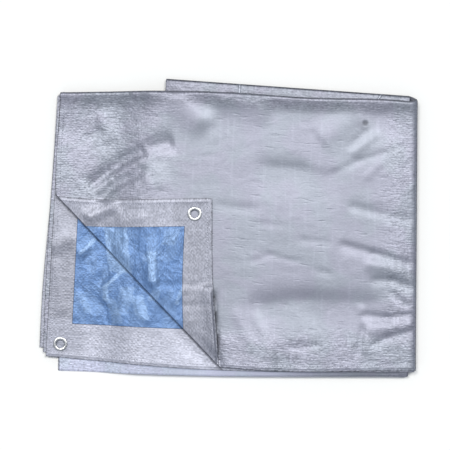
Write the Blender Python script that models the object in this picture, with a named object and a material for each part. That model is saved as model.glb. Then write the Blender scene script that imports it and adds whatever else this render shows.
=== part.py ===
"""A folded two-colour tarpaulin, lying flat, with one front corner turned back to show its blue side.

The cloth is worked out flat and then folded. Across the cloth, a point has a fraction along its panel and
two angles: how far it is turned under at the right-hand fold, and how far it is turned at the fold that
halves the cloth. The same holds up the cloth. Tables are in millimetres, heights and meshes in metres.
"""

import math
from collections import namedtuple

import bmesh
import bpy
import numpy as np

MM = 0.001

# Cloth, and the least space between two pieces
SHEET = 1.0 * MM
GAP = 0.4 * MM
PIECE_GAP = 0.3

# Heights of the stack: halved across, halved up, top turned under, right side turned under
STACK_2 = 2 * SHEET + GAP
STACK_4 = 2 * STACK_2 + GAP
STACK_8 = 2 * STACK_4 + GAP
STACK_16 = 2 * STACK_8 + GAP

# One visible panel, by which a length along the cloth becomes a fraction of its panel
PANEL_WIDTH = 487.0
PANEL_HEIGHT = 366.0

# Edges of the panels where their folds begin: rows of (fraction along the edge, mm)
TOP_EDGE = ((0.0, 180.4), (0.29, 181.8), (0.475, 179.8), (0.71, 172.4), (0.95, 169.4), (1.0, 167.5))
RIGHT_EDGE = ((0.0, 245.1), (1.0, 247.6))
BACK_RIGHT_EDGE = ((0.0, 240.7), (0.3, 244.4), (0.6, 246.0), (1.0, 247.6))
BACK_LOW_EDGE = ((0.0, -193.3), (0.39, -199.2), (1.0, -200.8))
UNDER_TOP_EDGE = ((0.0, 199.3), (1.0, 175.7))
UNDER_LEFT_EDGE = ((0.0, -111.5), (1.0, -84.1))
UNDER_LOW_EDGE = ((0.0, -175.0), (1.0, -195.0))
UNDER_BACK_LOW_EDGE = ((0.0, -183.5), (1.0, -202.2))

# Free edges of the four layers, from the top layer down: rows of (fraction along the edge, mm)
LAYERS = ("front", "second", "third", "fourth")
FRONT_TAG, SECOND_TAG = 1, 2
LEFT_EDGES = {
    "front": ((0.0, -239.6), (0.6, -235.6), (1.0, -229.0)),
    "second": ((0.0, -249.6), (0.5, -240.0), (1.0, -230.5)),
    "third": ((0.0, -253.6), (0.25, -250.5), (1.0, -232.2)),
    "fourth": ((0.0, -258.4), (0.2, -255.2), (0.6, -243.0), (1.0, -233.9)),
}
LOW_EDGES = {
    "front": ((0.0, -169.5), (0.23, -175.5), (0.46, -188.4), (0.69, -195.4), (0.93, -193.9), (1.0, -194.2)),
    "second": ((0.0, -175.4), (0.47, -193.4), (1.0, -196.5)),
    "third": ((0.0, -170.0), (0.47, -189.0), (1.0, -195.0)),
    "fourth": ((0.0, -163.2), (0.47, -185.0), (1.0, -193.0)),
}
BACK_LEFT_FEET = {"front": -233.9, "second": -233.2, "third": -232.6, "fourth": -232.0}

# The step down where the cloth leaves the part that is turned under
STEP_CLEARANCE = 4.0
STEP_RUN = 76.0

# Turned-back corner: the line where its turn begins, and the inner radius of the turn
TURN_FROM = (-230.2, 41.6)
TURN_TO = (-11.7, -187.1)
ROLL = 0.9 * MM
ROLL_STEPS = 4

# How loosely the front layer lies, and where that fades out at its folds
LOOSE = 1.0 * MM
LEAST_LOOSE = 0.1 * MM
FADE_RIGHT = 245.0
FADE_TOP = 165.0
FADE_RUN = 45.0

# Soft ridges and troughs, all in mm
Crease = namedtuple("Crease", "from_x from_y to_x to_y width height")
FRONT_CREASES = (
    Crease(-197, 58, -137, 109, 9, -0.8),
    Crease(-184, 78, -118, 134, 9, 1.1),
    Crease(-173, 49, -88, 118, 9, -0.7),
    Crease(-60, 178, -32, 154, 10, 0.9),
    Crease(9, 159, 58, 158, 12, -0.7),
    Crease(48, 84, 138, 86, 12, -0.8),
    Crease(35, -93, 195, -93, 16, -0.9),
    Crease(22, -150, 60, -150, 30, 1.0),
    Crease(154, -20, 228, -44, 9, 1.1),
    Crease(184, -113, 236, -120, 9, -0.8),
    Crease(195, -146, 245, -136, 9, 1.0),
    Crease(180, -142, 180, -161, 8, 0.8),
)
SECOND_CREASES = (
    Crease(-188, -18, -150, -90, 12, 0.9),
    Crease(-196, -78, -158, -132, 10, 0.8),
    Crease(-236, -20, -226, -100, 9, 0.7),
    Crease(-120, -150, -60, -172, 14, 0.6),
)
TURNED_CREASES = (
    Crease(-24, -84, -14, -166, 13, 2.6),
    Crease(-150, -6, -120, -60, 14, 1.2),
    Crease(-92, -12, -86, -98, 12, 1.0),
    Crease(-60, -78, -20, -76, 7, 0.8),
    Crease(-58, -105, -20, -105, 7, 0.7),
)
CREASE_END_RUN = 18.0
LIFT_ROUNDS = 2
LIFT_MISS = 0.12 * MM
SECOND_FADE_FROM = 6.6
SECOND_FADE = 22.0
TURNED_FADE = 14.0

# Hem strips that hold the eyelets: their size from the corner, and the eyelet's place on each
Strip = namedtuple("Strip", "name ring layer width length eyelet_in eyelet_up")
STRIPS = (
    Strip("hem_strip_turned", "eyelet_turned", "front", 37.0, 75.0, 21.0, 24.6),
    Strip("hem_strip_lower", "eyelet_lower", "second", 41.0, 75.0, 18.6, 18.6),
)
STRIP_BLOCK = 12.0
STRIP_BLOCK_CELLS = 6
CLOTH_HOLE = 7.0

# The second layer rises round its eyelet, to clear the layer beneath
EYELET_LIFT = 1.2 * MM
EYELET_LIFT_FLAT = 16.0
EYELET_LIFT_RUN = 30.0

# Eyelets
EYELET_RADIUS = 10.0 * MM
EYELET_BORE = 5.75 * MM
EYELET_BARREL = 6.6 * MM
EYELET_FLANGE = 0.7 * MM
EYELET_ROUNDING = 0.3 * MM
EYELET_CLEARANCE = 0.3 * MM
EYELET_SIDES = 24

# Where the cloth is divided, as fractions of a panel, and the steps round each fold
STEP_ZONE = tuple(0.1 + 0.02 * i for i in range(11))
WIDE_ZONE = tuple(0.38 + 0.08 * i for i in range(7))
FIRST_ACROSS = (0.0, 0.038, 37.0 / PANEL_WIDTH) + STEP_ZONE + WIDE_ZONE + (0.95, 1.0)
LAST_ACROSS = (0.0, 41.0 / PANEL_WIDTH) + STEP_ZONE + WIDE_ZONE + (0.95, 1.0)
LOW_ZONE = (0.0, 0.05, 0.1, 0.1525, 75.0 / PANEL_HEIGHT)
FIRST_UP = LOW_ZONE + tuple(0.27 + 0.0664 * i for i in range(11)) + (1.0,)
UNDER_ACROSS = (0.0, 0.5, 1.0)
UNDER_UP = (0.0, FIRST_UP[6], FIRST_UP[11], 1.0)
LAST_UP = (0.0, 0.1, FIRST_UP[6], FIRST_UP[11], 1.0)
RIGHT_FOLD_STEPS = 4
TOP_FOLD_STEPS = 4
HALVING_STEPS = 2

# Colours, roughness and metallic value
Finish = namedtuple("Finish", "name colour roughness metallic")
SILVER = Finish("silver_weave", (0.44, 0.46, 0.55), 0.45, 0.25)
BLUE = Finish("blue_weave", (0.14, 0.28, 0.62), 0.45, 0.0)
HEM = Finish("silver_hem", (0.47, 0.48, 0.55), 0.5, 0.2)
ALUMINIUM = Finish("aluminium", (0.8, 0.81, 0.83), 0.3, 1.0)
HEM_SHARE_UP = 0.1
SHARP_ANGLE = math.radians(35.0)


def material(finish):
    """The finish as a material, made once."""
    made = bpy.data.materials.get(finish.name)
    if made:
        return made
    made = bpy.data.materials.new(finish.name)
    made.use_nodes = True
    shader = made.node_tree.nodes["Principled BSDF"]
    shader.inputs["Base Color"].default_value = (*finish.colour, 1.0)
    shader.inputs["Roughness"].default_value = finish.roughness
    shader.inputs["Metallic"].default_value = finish.metallic
    return made


def eased(value):
    """From 0 to 1 with a soft start and end."""
    value = np.clip(value, 0.0, 1.0)
    return value * value * (3.0 - 2.0 * value)


def curve(rows, at):
    """A smooth curve through rows of (fraction, mm), read at fractions, in metres."""
    knots, values = np.array(rows, float).T
    slopes = np.gradient(values, knots)
    i = np.clip(np.searchsorted(knots, at, side="right") - 1, 0, len(knots) - 2)
    step = knots[i + 1] - knots[i]
    f = (at - knots[i]) / step
    rise = f * f * (3.0 - 2.0 * f)
    bend = f * (1.0 - f) * ((1.0 - f) * slopes[i] - f * slopes[i + 1]) * step
    return (values[i] * (1.0 - rise) + values[i + 1] * rise + bend) * MM


def creased(creases, x, y):
    """The height of ridges and troughs, in metres, at places in metres."""
    total = np.zeros_like(x)
    for c in creases:
        along = np.array((c.to_x - c.from_x, c.to_y - c.from_y))
        length = math.hypot(*along)
        along = along / length
        dx = x / MM - c.from_x
        dy = y / MM - c.from_y
        s = dx * along[0] + dy * along[1]
        away = dy * along[0] - dx * along[1]
        started = eased((s + CREASE_END_RUN) / CREASE_END_RUN)
        ended = eased((length + CREASE_END_RUN - s) / CREASE_END_RUN)
        total += c.height * MM * started * ended * np.exp(-((away / c.width) ** 2))
    return total


def turn_direction():
    """The turned-back corner's line: its start in metres, and the way from it towards the corner."""
    start = np.array(TURN_FROM) * MM
    along = np.array(TURN_TO) * MM - start
    along /= np.linalg.norm(along)
    return start, np.array((along[1], -along[0]))


def past_turn(x, y):
    """How far a place lies past the line of the turned-back corner, towards the corner."""
    start, normal = turn_direction()
    return (x - start[0]) * normal[0] + (y - start[1]) * normal[1]


def step_down(x, y):
    """How far the cloth is below its full height, left of the part that is turned under."""
    (_, low_x), (_, high_x) = UNDER_LEFT_EDGE
    low_y, high_y = UNDER_LOW_EDGE[0][1], UNDER_TOP_EDGE[0][1]
    edge = low_x + (high_x - low_x) * (y / MM - low_y) / (high_y - low_y)
    return (STACK_8 + GAP) * eased((edge - STEP_CLEARANCE - x / MM) / STEP_RUN)


def front_lift(x, y):
    """How far the front layer lies above the closed stack."""
    fade = eased((FADE_RIGHT - x / MM) / FADE_RUN) * eased((FADE_TOP - y / MM) / FADE_RUN)
    return fade * np.maximum(LOOSE + creased(FRONT_CREASES, x, y), LEAST_LOOSE)


def second_lift(x, y):
    """How far the second layer lies above the closed stack, where it shows."""
    shown = eased((past_turn(x, y) / MM - SECOND_FADE_FROM) / SECOND_FADE)
    lift = shown * np.maximum(creased(SECOND_CREASES, x, y), 0.0)
    lower = STRIPS[1]
    centre = panel_place(*strip_stations(lower, np.array([lower.eyelet_in]), np.array([lower.eyelet_up])))
    away = np.hypot(x - centre[0], y - centre[1]) / MM
    near = eased((EYELET_LIFT_FLAT + EYELET_LIFT_RUN - away) / EYELET_LIFT_RUN)
    return lift * (1.0 - near) + EYELET_LIFT * near


def front_top(x, y):
    """The height of the front layer's upper face."""
    return STACK_16 - step_down(x, y) + front_lift(x, y)


def turned_lift(x, y):
    """How far the turned-back corner stands off the front layer, past its roll."""
    free = eased(-past_turn(x, y) / MM / TURNED_FADE)
    return free * np.maximum(creased(TURNED_CREASES, x, y), 0.0)


def stations(first, under, last, fold_steps):
    """The divisions of the cloth from one free edge to the other: rows of (fraction, under, halved)."""
    rows = [(f, 0.0, 0.0) for f in first]
    rows += [(1.0, math.pi * k / fold_steps, 0.0) for k in range(1, fold_steps)]
    rows += [(f, math.pi, 0.0) for f in reversed(under)]
    rows += [(0.0, math.pi, math.pi * k / HALVING_STEPS) for k in range(1, HALVING_STEPS)]
    rows += [(f, math.pi, math.pi) for f in under]
    rows += [(1.0, math.pi * k / fold_steps, math.pi) for k in range(fold_steps - 1, 0, -1)]
    rows += [(f, 0.0, math.pi) for f in reversed(last)]
    return np.array(rows)


def layer_shares(across_halved, up_halved):
    """How much of each of the four layers a point is, by its two halving folds."""
    a, u = across_halved / math.pi, up_halved / math.pi
    return {"front": (1 - a) * (1 - u), "second": a * (1 - u), "third": a * u, "fourth": (1 - a) * u}


def panel_place(across, up):
    """The place of flat cloth on its panel, before the folds round off, in metres."""
    p, under_x, halved_x = across.T
    q, under_y, halved_y = up.T
    turned, back = under_x / math.pi, under_y / math.pi
    shares = layer_shares(halved_x, halved_y)

    front_left = sum(shares[k] * curve(LEFT_EDGES[k], q) for k in LAYERS)
    feet = {k: ((0.0, BACK_LEFT_FEET[k]), (1.0, LEFT_EDGES[k][-1][1])) for k in LAYERS}
    back_left = sum(shares[k] * curve(feet[k], q) for k in LAYERS)
    left = (front_left * (1 - back) + back_left * back) * (1 - turned) + curve(UNDER_LEFT_EDGE, q) * turned
    right = curve(RIGHT_EDGE, q) * (1 - back) + curve(BACK_RIGHT_EDGE, q) * back

    front_low = sum(shares[k] * curve(LOW_EDGES[k], p) for k in LAYERS)
    outer_low = front_low * (1 - back) + curve(BACK_LOW_EDGE, p) * back
    shift = sum(shares[k] * (LOW_EDGES[k][-1][1] - LOW_EDGES["front"][-1][1]) * MM for k in LAYERS)
    under_low = (curve(UNDER_LOW_EDGE, p) + shift) * (1 - back) + curve(UNDER_BACK_LOW_EDGE, p) * back
    low = outer_low * (1 - turned) + under_low * turned
    top = curve(TOP_EDGE, p) * (1 - turned) + curve(UNDER_TOP_EDGE, p) * turned
    return left + (right - left) * p, low + (top - low) * q


def folded(across, up, height):
    """Points of the folded cloth at a height through its thickness, 0 on its blue face."""
    _, under_x, halved_x = across.T
    _, under_y, halved_y = up.T
    x, y = panel_place(across, up)
    reach = height + GAP / 2
    x = x - reach * np.sin(halved_x)
    reach = SHEET + GAP + reach * np.cos(halved_x)
    y = y - reach * np.sin(halved_y)
    reach = STACK_2 + GAP + reach * np.cos(halved_y)
    y = y + reach * np.sin(under_y)
    reach = STACK_4 + GAP + reach * np.cos(under_y)
    x = x + reach * np.sin(under_x)
    z = STACK_8 + GAP / 2 + reach * np.cos(under_x)
    z = z - np.where(under_x < math.pi / 2, step_down(x, y), 0.0)
    return x, y, z


def turned_back(points):
    """Points of the front layer, with what lies past the turn rolled over onto it."""
    start, normal = turn_direction()
    away = past_turn(points[:, 0], points[:, 1])
    depth = front_top(points[:, 0], points[:, 1]) - points[:, 2]
    middle = ROLL + SHEET / 2
    angle = np.clip(away / middle, 0.0, math.pi)
    reach = (ROLL + depth) * np.sin(angle) - np.maximum(away - math.pi * middle, 0.0)
    places = points[:, :2] + (reach - away)[:, None] * normal
    x, y = places.T
    z = front_top(x, y) + ROLL - (ROLL + depth) * np.cos(angle) + turned_lift(x, y)
    moved = np.column_stack((x, y, z))
    return np.where((away > 0.0)[:, None], moved, points)


def strip_stations(strip, inward, upward):
    """The divisions of a strip at lengths in mm from its corner."""
    halved = 0.0 if strip.layer == "front" else math.pi
    flat = np.zeros_like(inward)
    across = np.column_stack((inward / PANEL_WIDTH, flat, flat + halved))
    return across, np.column_stack((upward / PANEL_HEIGHT, flat, flat))


def strip_points(strip, inward, upward, height):
    """Points of a strip in its place on the folded tarp."""
    x, y, z = folded(*strip_stations(strip, inward, upward), height)
    if strip.layer == "front":
        return turned_back(np.column_stack((x, y, z + front_lift(x, y))))
    return np.column_stack((x, y, z + second_lift(x, y)))


def add_object(name, bm, finishes):
    """A new object from a closed bmesh."""
    if bm.calc_volume(signed=True) < 0.0:
        bmesh.ops.reverse_faces(bm, faces=bm.faces)
    mesh = bpy.data.meshes.new(name)
    bm.to_mesh(mesh)
    bm.free()
    made = bpy.data.objects.new(name, mesh)
    bpy.context.collection.objects.link(made)
    for finish in finishes:
        mesh.materials.append(material(finish))
    return made


def thick_mesh(lower, upper, cells, lower_finishes):
    """A closed mesh from two layers of points and the cells that both share, with each layer's vertices."""
    bm = bmesh.new()
    below = [bm.verts.new(p) for p in lower]
    above = [bm.verts.new(p) for p in upper]
    rims = set()
    for cell, finish in zip(cells, lower_finishes):
        bm.faces.new([above[i] for i in cell])
        bm.faces.new([below[i] for i in reversed(cell)]).material_index = finish
        for a, b in zip(cell, cell[1:] + cell[:1]):
            rims.symmetric_difference_update([(b, a)] if (b, a) in rims else [(a, b)])
    for a, b in sorted(rims):
        bm.faces.new((below[a], below[b], above[b], above[a]))
    return bm, below, above


def drop_loose(bm):
    """Removes the points that no face uses."""
    bmesh.ops.delete(bm, geom=[v for v in bm.verts if not v.link_faces], context="VERTS")


def sheet_mesh():
    """The tarp as one closed sheet, less the two corners that are strips of their own."""
    across = stations(FIRST_ACROSS, UNDER_ACROSS, LAST_ACROSS, RIGHT_FOLD_STEPS)
    up = stations(FIRST_UP, UNDER_UP, LAST_UP, TOP_FOLD_STEPS)
    wide, high = len(across), len(up)
    i, j = (index.ravel() for index in np.meshgrid(range(wide), range(high), indexing="ij"))
    shown = (across[i, 1] == 0.0) & (up[j, 1] == 0.0) & (up[j, 2] == 0.0)
    front = shown & (across[i, 2] == 0.0)
    second = shown & (across[i, 2] == math.pi)
    faces = [np.column_stack(folded(across[i], up[j], height)) for height in (0.0, SHEET)]

    turned_end = FIRST_ACROSS.index(STRIPS[0].width / PANEL_WIDTH)
    lower_end = wide - 1 - LAST_ACROSS.index(STRIPS[1].width / PANEL_WIDTH)
    strips_top = FIRST_UP.index(STRIPS[0].length / PANEL_HEIGHT)
    hem_top = FIRST_UP.index(HEM_SHARE_UP)
    cells, finishes = [], []
    for a in range(wide - 1):
        for b in range(high - 1):
            beside = a < turned_end or a >= lower_end
            if beside and b < strips_top:
                continue
            corner = a * high + b
            cells.append([corner, corner + high, corner + high + 1, corner + 1])
            finishes.append(2 if beside or b < hem_top or b == high - 2 else 1)
    bm, below, above = thick_mesh(*faces, cells, finishes)
    tag = bm.faces.layers.int.new("layer")
    for number, chosen in ((FRONT_TAG, front), (SECOND_TAG, second)):
        verts = {v for k in np.flatnonzero(chosen) for v in (below[k], above[k])}
        for face in bm.faces:
            if all(v in verts for v in face.verts):
                face[tag] = number
    raise_layer(bm, FRONT_TAG, front_lift)
    raise_layer(bm, SECOND_TAG, second_lift)
    roll_corner(bm)
    drop_loose(bm)
    return bm


def layer_parts(bm, number):
    """The faces, edges and points of one layer of the sheet, both its sides and its rim."""
    tag = bm.faces.layers.int["layer"]
    faces = [f for f in bm.faces if f[tag] == number]
    edges = list({e for f in faces for e in f.edges})
    return faces, edges, list({v for e in edges for v in e.verts})


def raise_layer(bm, number, lift):
    """Divides a layer where its ridges and troughs need it, and lifts it by them."""
    for _ in range(LIFT_ROUNDS):
        _, edges, _ = layer_parts(bm, number)
        ends = np.array([[v.co for v in e.verts] for e in edges])
        heights = [lift(*at[:, :2].T) for at in (ends[:, 0], ends[:, 1], ends.mean(axis=1))]
        miss = np.abs(heights[2] - (heights[0] + heights[1]) / 2)
        rough = [e for e, m in zip(edges, miss) if m > LIFT_MISS]
        bmesh.ops.subdivide_edges(bm, edges=rough, cuts=1, use_grid_fill=True)
    _, _, verts = layer_parts(bm, number)
    places = np.array([v.co for v in verts])
    for v, rise in zip(verts, lift(*places[:, :2].T)):
        v.co.z += rise


def roll_corner(bm):
    """Divides the front layer along the roll of its corner and turns the corner back."""
    start, normal = turn_direction()
    for k in range(ROLL_STEPS + 1):
        place = start + normal * math.pi * (ROLL + SHEET / 2) * k / ROLL_STEPS
        parts = [part for kind in layer_parts(bm, FRONT_TAG) for part in kind]
        bmesh.ops.bisect_plane(bm, geom=parts, dist=1e-6, plane_co=(*place, 0.0), plane_no=(*normal, 0.0))
    _, _, verts = layer_parts(bm, FRONT_TAG)
    for v, place in zip(verts, turned_back(np.array([v.co for v in verts]))):
        v.co = place


def strip_lines(size, centre, cells_beyond):
    """The divisions of a strip's side: its ends, the block round the eyelet, and some beyond it."""
    block = np.linspace(centre - STRIP_BLOCK, centre + STRIP_BLOCK, STRIP_BLOCK_CELLS + 1)
    beyond = np.linspace(centre + STRIP_BLOCK, size, cells_beyond + 1)
    return [0.0, *block, *beyond[1:]]


def strip_mesh(strip):
    """A hem strip with its round hole, as a closed sheet."""
    xs = strip_lines(strip.width - PIECE_GAP, strip.eyelet_in, 1)
    ys = strip_lines(strip.length - PIECE_GAP, strip.eyelet_up, 3)
    high = len(ys)
    places = [(x, y) for x in xs for y in ys]
    block = range(1, 1 + STRIP_BLOCK_CELLS)
    cells = []
    for a in range(len(xs) - 1):
        for b in range(high - 1):
            if a not in block or b not in block:
                corner = a * high + b
                cells.append([corner, corner + high, corner + high + 1, corner + 1])
    low, top = 1, 1 + STRIP_BLOCK_CELLS
    loop = [(a, low) for a in range(low, top)] + [(top, b) for b in range(low, top)]
    loop += [(a, top) for a in range(top, low, -1)] + [(low, b) for b in range(top, low, -1)]
    first = len(places)
    for a, b in loop:
        away = math.atan2(ys[b] - strip.eyelet_up, xs[a] - strip.eyelet_in)
        inward = strip.eyelet_in + CLOTH_HOLE * math.cos(away)
        places.append((inward, strip.eyelet_up + CLOTH_HOLE * math.sin(away)))
    for k, (a, b) in enumerate(loop):
        after = (k + 1) % len(loop)
        next_a, next_b = loop[after]
        cells.append([a * high + b, next_a * high + next_b, first + after, first + k])
    inward, upward = np.array(places).T
    lower, upper = (strip_points(strip, inward, upward, height) for height in (0.0, SHEET))
    bm, _, _ = thick_mesh(lower, upper, cells, [0] * len(cells))
    drop_loose(bm)
    return bm


def eyelet_mesh(strip):
    """A turned eyelet, a barrel with a flange on each face of the cloth."""
    centre = strip_points(strip, np.array([strip.eyelet_in]), np.array([strip.eyelet_up]), SHEET / 2)[0]
    inner = SHEET / 2 + EYELET_CLEARANCE
    outer = inner + EYELET_FLANGE
    edge = EYELET_RADIUS - EYELET_ROUNDING
    profile = [
        (EYELET_BORE, -outer),
        (edge, -outer),
        (EYELET_RADIUS, EYELET_ROUNDING - outer),
        (EYELET_RADIUS, -inner),
        (EYELET_BARREL, -inner),
        (EYELET_BARREL, inner),
        (EYELET_RADIUS, inner),
        (EYELET_RADIUS, outer - EYELET_ROUNDING),
        (edge, outer),
        (EYELET_BORE + EYELET_ROUNDING, outer),
        (EYELET_BORE, outer - EYELET_ROUNDING),
    ]
    bm = bmesh.new()
    verts = [bm.verts.new((centre[0] + r, centre[1], centre[2] + z)) for r, z in profile]
    edges = [bm.edges.new(pair) for pair in zip(verts, verts[1:] + verts[:1])]
    whole = 2 * math.pi
    bmesh.ops.spin(
        bm, geom=verts + edges, cent=centre, axis=(0, 0, 1), angle=whole, steps=EYELET_SIDES, use_merge=True
    )
    bmesh.ops.recalc_face_normals(bm, faces=bm.faces)
    return bm


def main():
    """Builds the tarp, its hem strips and its eyelets, centred on the table."""
    for old in list(bpy.data.objects):
        bpy.data.objects.remove(old, do_unlink=True)
    sheet = add_object("tarp_sheet", sheet_mesh(), (SILVER, BLUE, HEM))
    pieces = [sheet]
    for strip in STRIPS:
        pieces.append(add_object(strip.name, strip_mesh(strip), (HEM,)))
        ring = add_object(strip.ring, eyelet_mesh(strip), (ALUMINIUM,))
        ring.data.set_sharp_from_angle(angle=SHARP_ANGLE)
        pieces.append(ring)
    corners = np.array([v.co for v in sheet.data.vertices])
    middle = (corners.min(axis=0) + corners.max(axis=0)) / 2
    for piece in pieces:
        piece.location = (-middle[0], -middle[1], 0.0)


main()
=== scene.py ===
"""The looks of a folded two-colour tarp that lies flat, with one front corner turned back.

The cloth is one thin sheet on the solid's own folds: it is worked out flat and folded by the same map, then
creased. Its outer face is silver. Its inner face is blue with a silver hem, which holds two eyelets.
"""

import logging
import math
from dataclasses import dataclass, field
from enum import Enum
from typing import Iterable, Sequence, Union

import bmesh
import bpy
import numpy as np
from mathutils import Matrix, Vector


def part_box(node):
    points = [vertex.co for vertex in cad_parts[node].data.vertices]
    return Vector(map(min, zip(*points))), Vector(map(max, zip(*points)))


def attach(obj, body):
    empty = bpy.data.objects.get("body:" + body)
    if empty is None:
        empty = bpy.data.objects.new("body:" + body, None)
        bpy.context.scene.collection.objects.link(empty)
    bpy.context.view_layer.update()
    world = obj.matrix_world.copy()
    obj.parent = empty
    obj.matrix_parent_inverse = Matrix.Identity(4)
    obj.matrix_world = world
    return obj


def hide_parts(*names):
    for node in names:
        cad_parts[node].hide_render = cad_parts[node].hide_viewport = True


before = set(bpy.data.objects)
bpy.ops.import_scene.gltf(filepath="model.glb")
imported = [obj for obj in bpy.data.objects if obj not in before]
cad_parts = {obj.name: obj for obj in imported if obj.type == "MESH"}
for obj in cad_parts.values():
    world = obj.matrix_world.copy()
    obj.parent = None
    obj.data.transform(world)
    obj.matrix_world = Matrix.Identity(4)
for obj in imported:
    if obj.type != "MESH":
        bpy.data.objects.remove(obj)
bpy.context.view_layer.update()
MM = 0.001
LOG = logging.getLogger("tarp")

Table = tuple[tuple[float, float], ...]
Colour = tuple[float, float, float]


class Layer(Enum):
    """The four layers of the front slab, from the top one down."""

    FRONT = 0
    SECOND = 1
    THIRD = 2
    FOURTH = 3

    @property
    def halved(self) -> float:
        """How far one of the two upper layers is turned at the fold that halves the cloth across."""
        return 0.0 if self is Layer.FRONT else math.pi


class Face(Enum):
    """The two faces of the cloth, by their material index."""

    OUTER = 0
    INNER = 1


def eased(value: np.ndarray) -> np.ndarray:
    """From 0 to 1 with a soft start and end."""
    value = np.clip(value, 0.0, 1.0)
    return value * value * (3.0 - 2.0 * value)


def spaced(start: float, end: float, step: float) -> np.ndarray:
    """Even places from a start to an end, about a step apart."""
    return np.linspace(start, end, int(round((end - start) / step)) + 1)


def curve(rows: Table, at: np.ndarray) -> np.ndarray:
    """A smooth curve through rows of (fraction, mm).

    Args:
        rows: The points that the curve goes through.
        at: The fractions at which it is read.

    Returns:
        Its values in metres.
    """
    knots, values = np.array(rows, float).T
    slopes = np.gradient(values, knots)
    i = np.clip(np.searchsorted(knots, at, side="right") - 1, 0, len(knots) - 2)
    step = knots[i + 1] - knots[i]
    f = (at - knots[i]) / step
    rise = f * f * (3.0 - 2.0 * f)
    bend = f * (1.0 - f) * ((1.0 - f) * slopes[i] - f * slopes[i + 1]) * step
    return (values[i] * (1.0 - rise) + values[i + 1] * rise + bend) * MM


def soft_noise(x: np.ndarray, y: np.ndarray, wave_x: float, wave_y: float, seed: int) -> np.ndarray:
    """Smooth uneven heights between -1 and 1, the same in each run.

    Args:
        x: Places across, in metres.
        y: Places up, in metres.
        wave_x: The spacing of the unevenness across, in mm.
        wave_y: The spacing up, in mm.
        seed: Which unevenness.

    Returns:
        A height for each place.
    """
    side = 128
    knots = np.random.default_rng(seed).uniform(-1.0, 1.0, (side, side))
    grid_x, grid_y = x / MM / wave_x + side / 2, y / MM / wave_y + side / 2
    i, j = np.floor(grid_x).astype(int), np.floor(grid_y).astype(int)
    fx, fy = eased(grid_x - i), eased(grid_y - j)
    i, j = i % (side - 1), j % (side - 1)
    low = knots[i, j] * (1.0 - fx) + knots[i + 1, j] * fx
    high = knots[i, j + 1] * (1.0 - fx) + knots[i + 1, j + 1] * fx
    return low * (1.0 - fy) + high * fy


@dataclass(frozen=True)
class Crease:
    """A soft ridge along a line, or a trough where its height is under 0. All in mm.

    The width is that of the side on the left of the line's way. The other width is that of the side on its
    right, where the two differ.
    """

    from_x: float
    from_y: float
    to_x: float
    to_y: float
    width: float
    height: float
    end_run: float = 12.0
    other_width: float = 0.0

    def rise(self, x: np.ndarray, y: np.ndarray) -> np.ndarray:
        """Works out how high the crease stands.

        Args:
            x: Places across, in metres.
            y: Places up, in metres.

        Returns:
            Its height at each place, in metres.
        """
        way = np.array((self.to_x - self.from_x, self.to_y - self.from_y))
        length = math.hypot(*way)
        way = way / length
        dx = x / MM - self.from_x
        dy = y / MM - self.from_y
        along = dx * way[0] + dy * way[1]
        away = dy * way[0] - dx * way[1]
        started = eased((along + self.end_run) / self.end_run)
        ended = eased((length + self.end_run - along) / self.end_run)
        width = np.where(away > 0.0, self.width, self.other_width or self.width)
        return self.height * MM * started * ended * np.exp(-((away / width) ** 2))


def total_rise(creases: Iterable[Crease], x: np.ndarray, y: np.ndarray) -> np.ndarray:
    """The sum of several creases, in metres."""
    return sum((crease.rise(x, y) for crease in creases), np.zeros_like(x))


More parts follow.
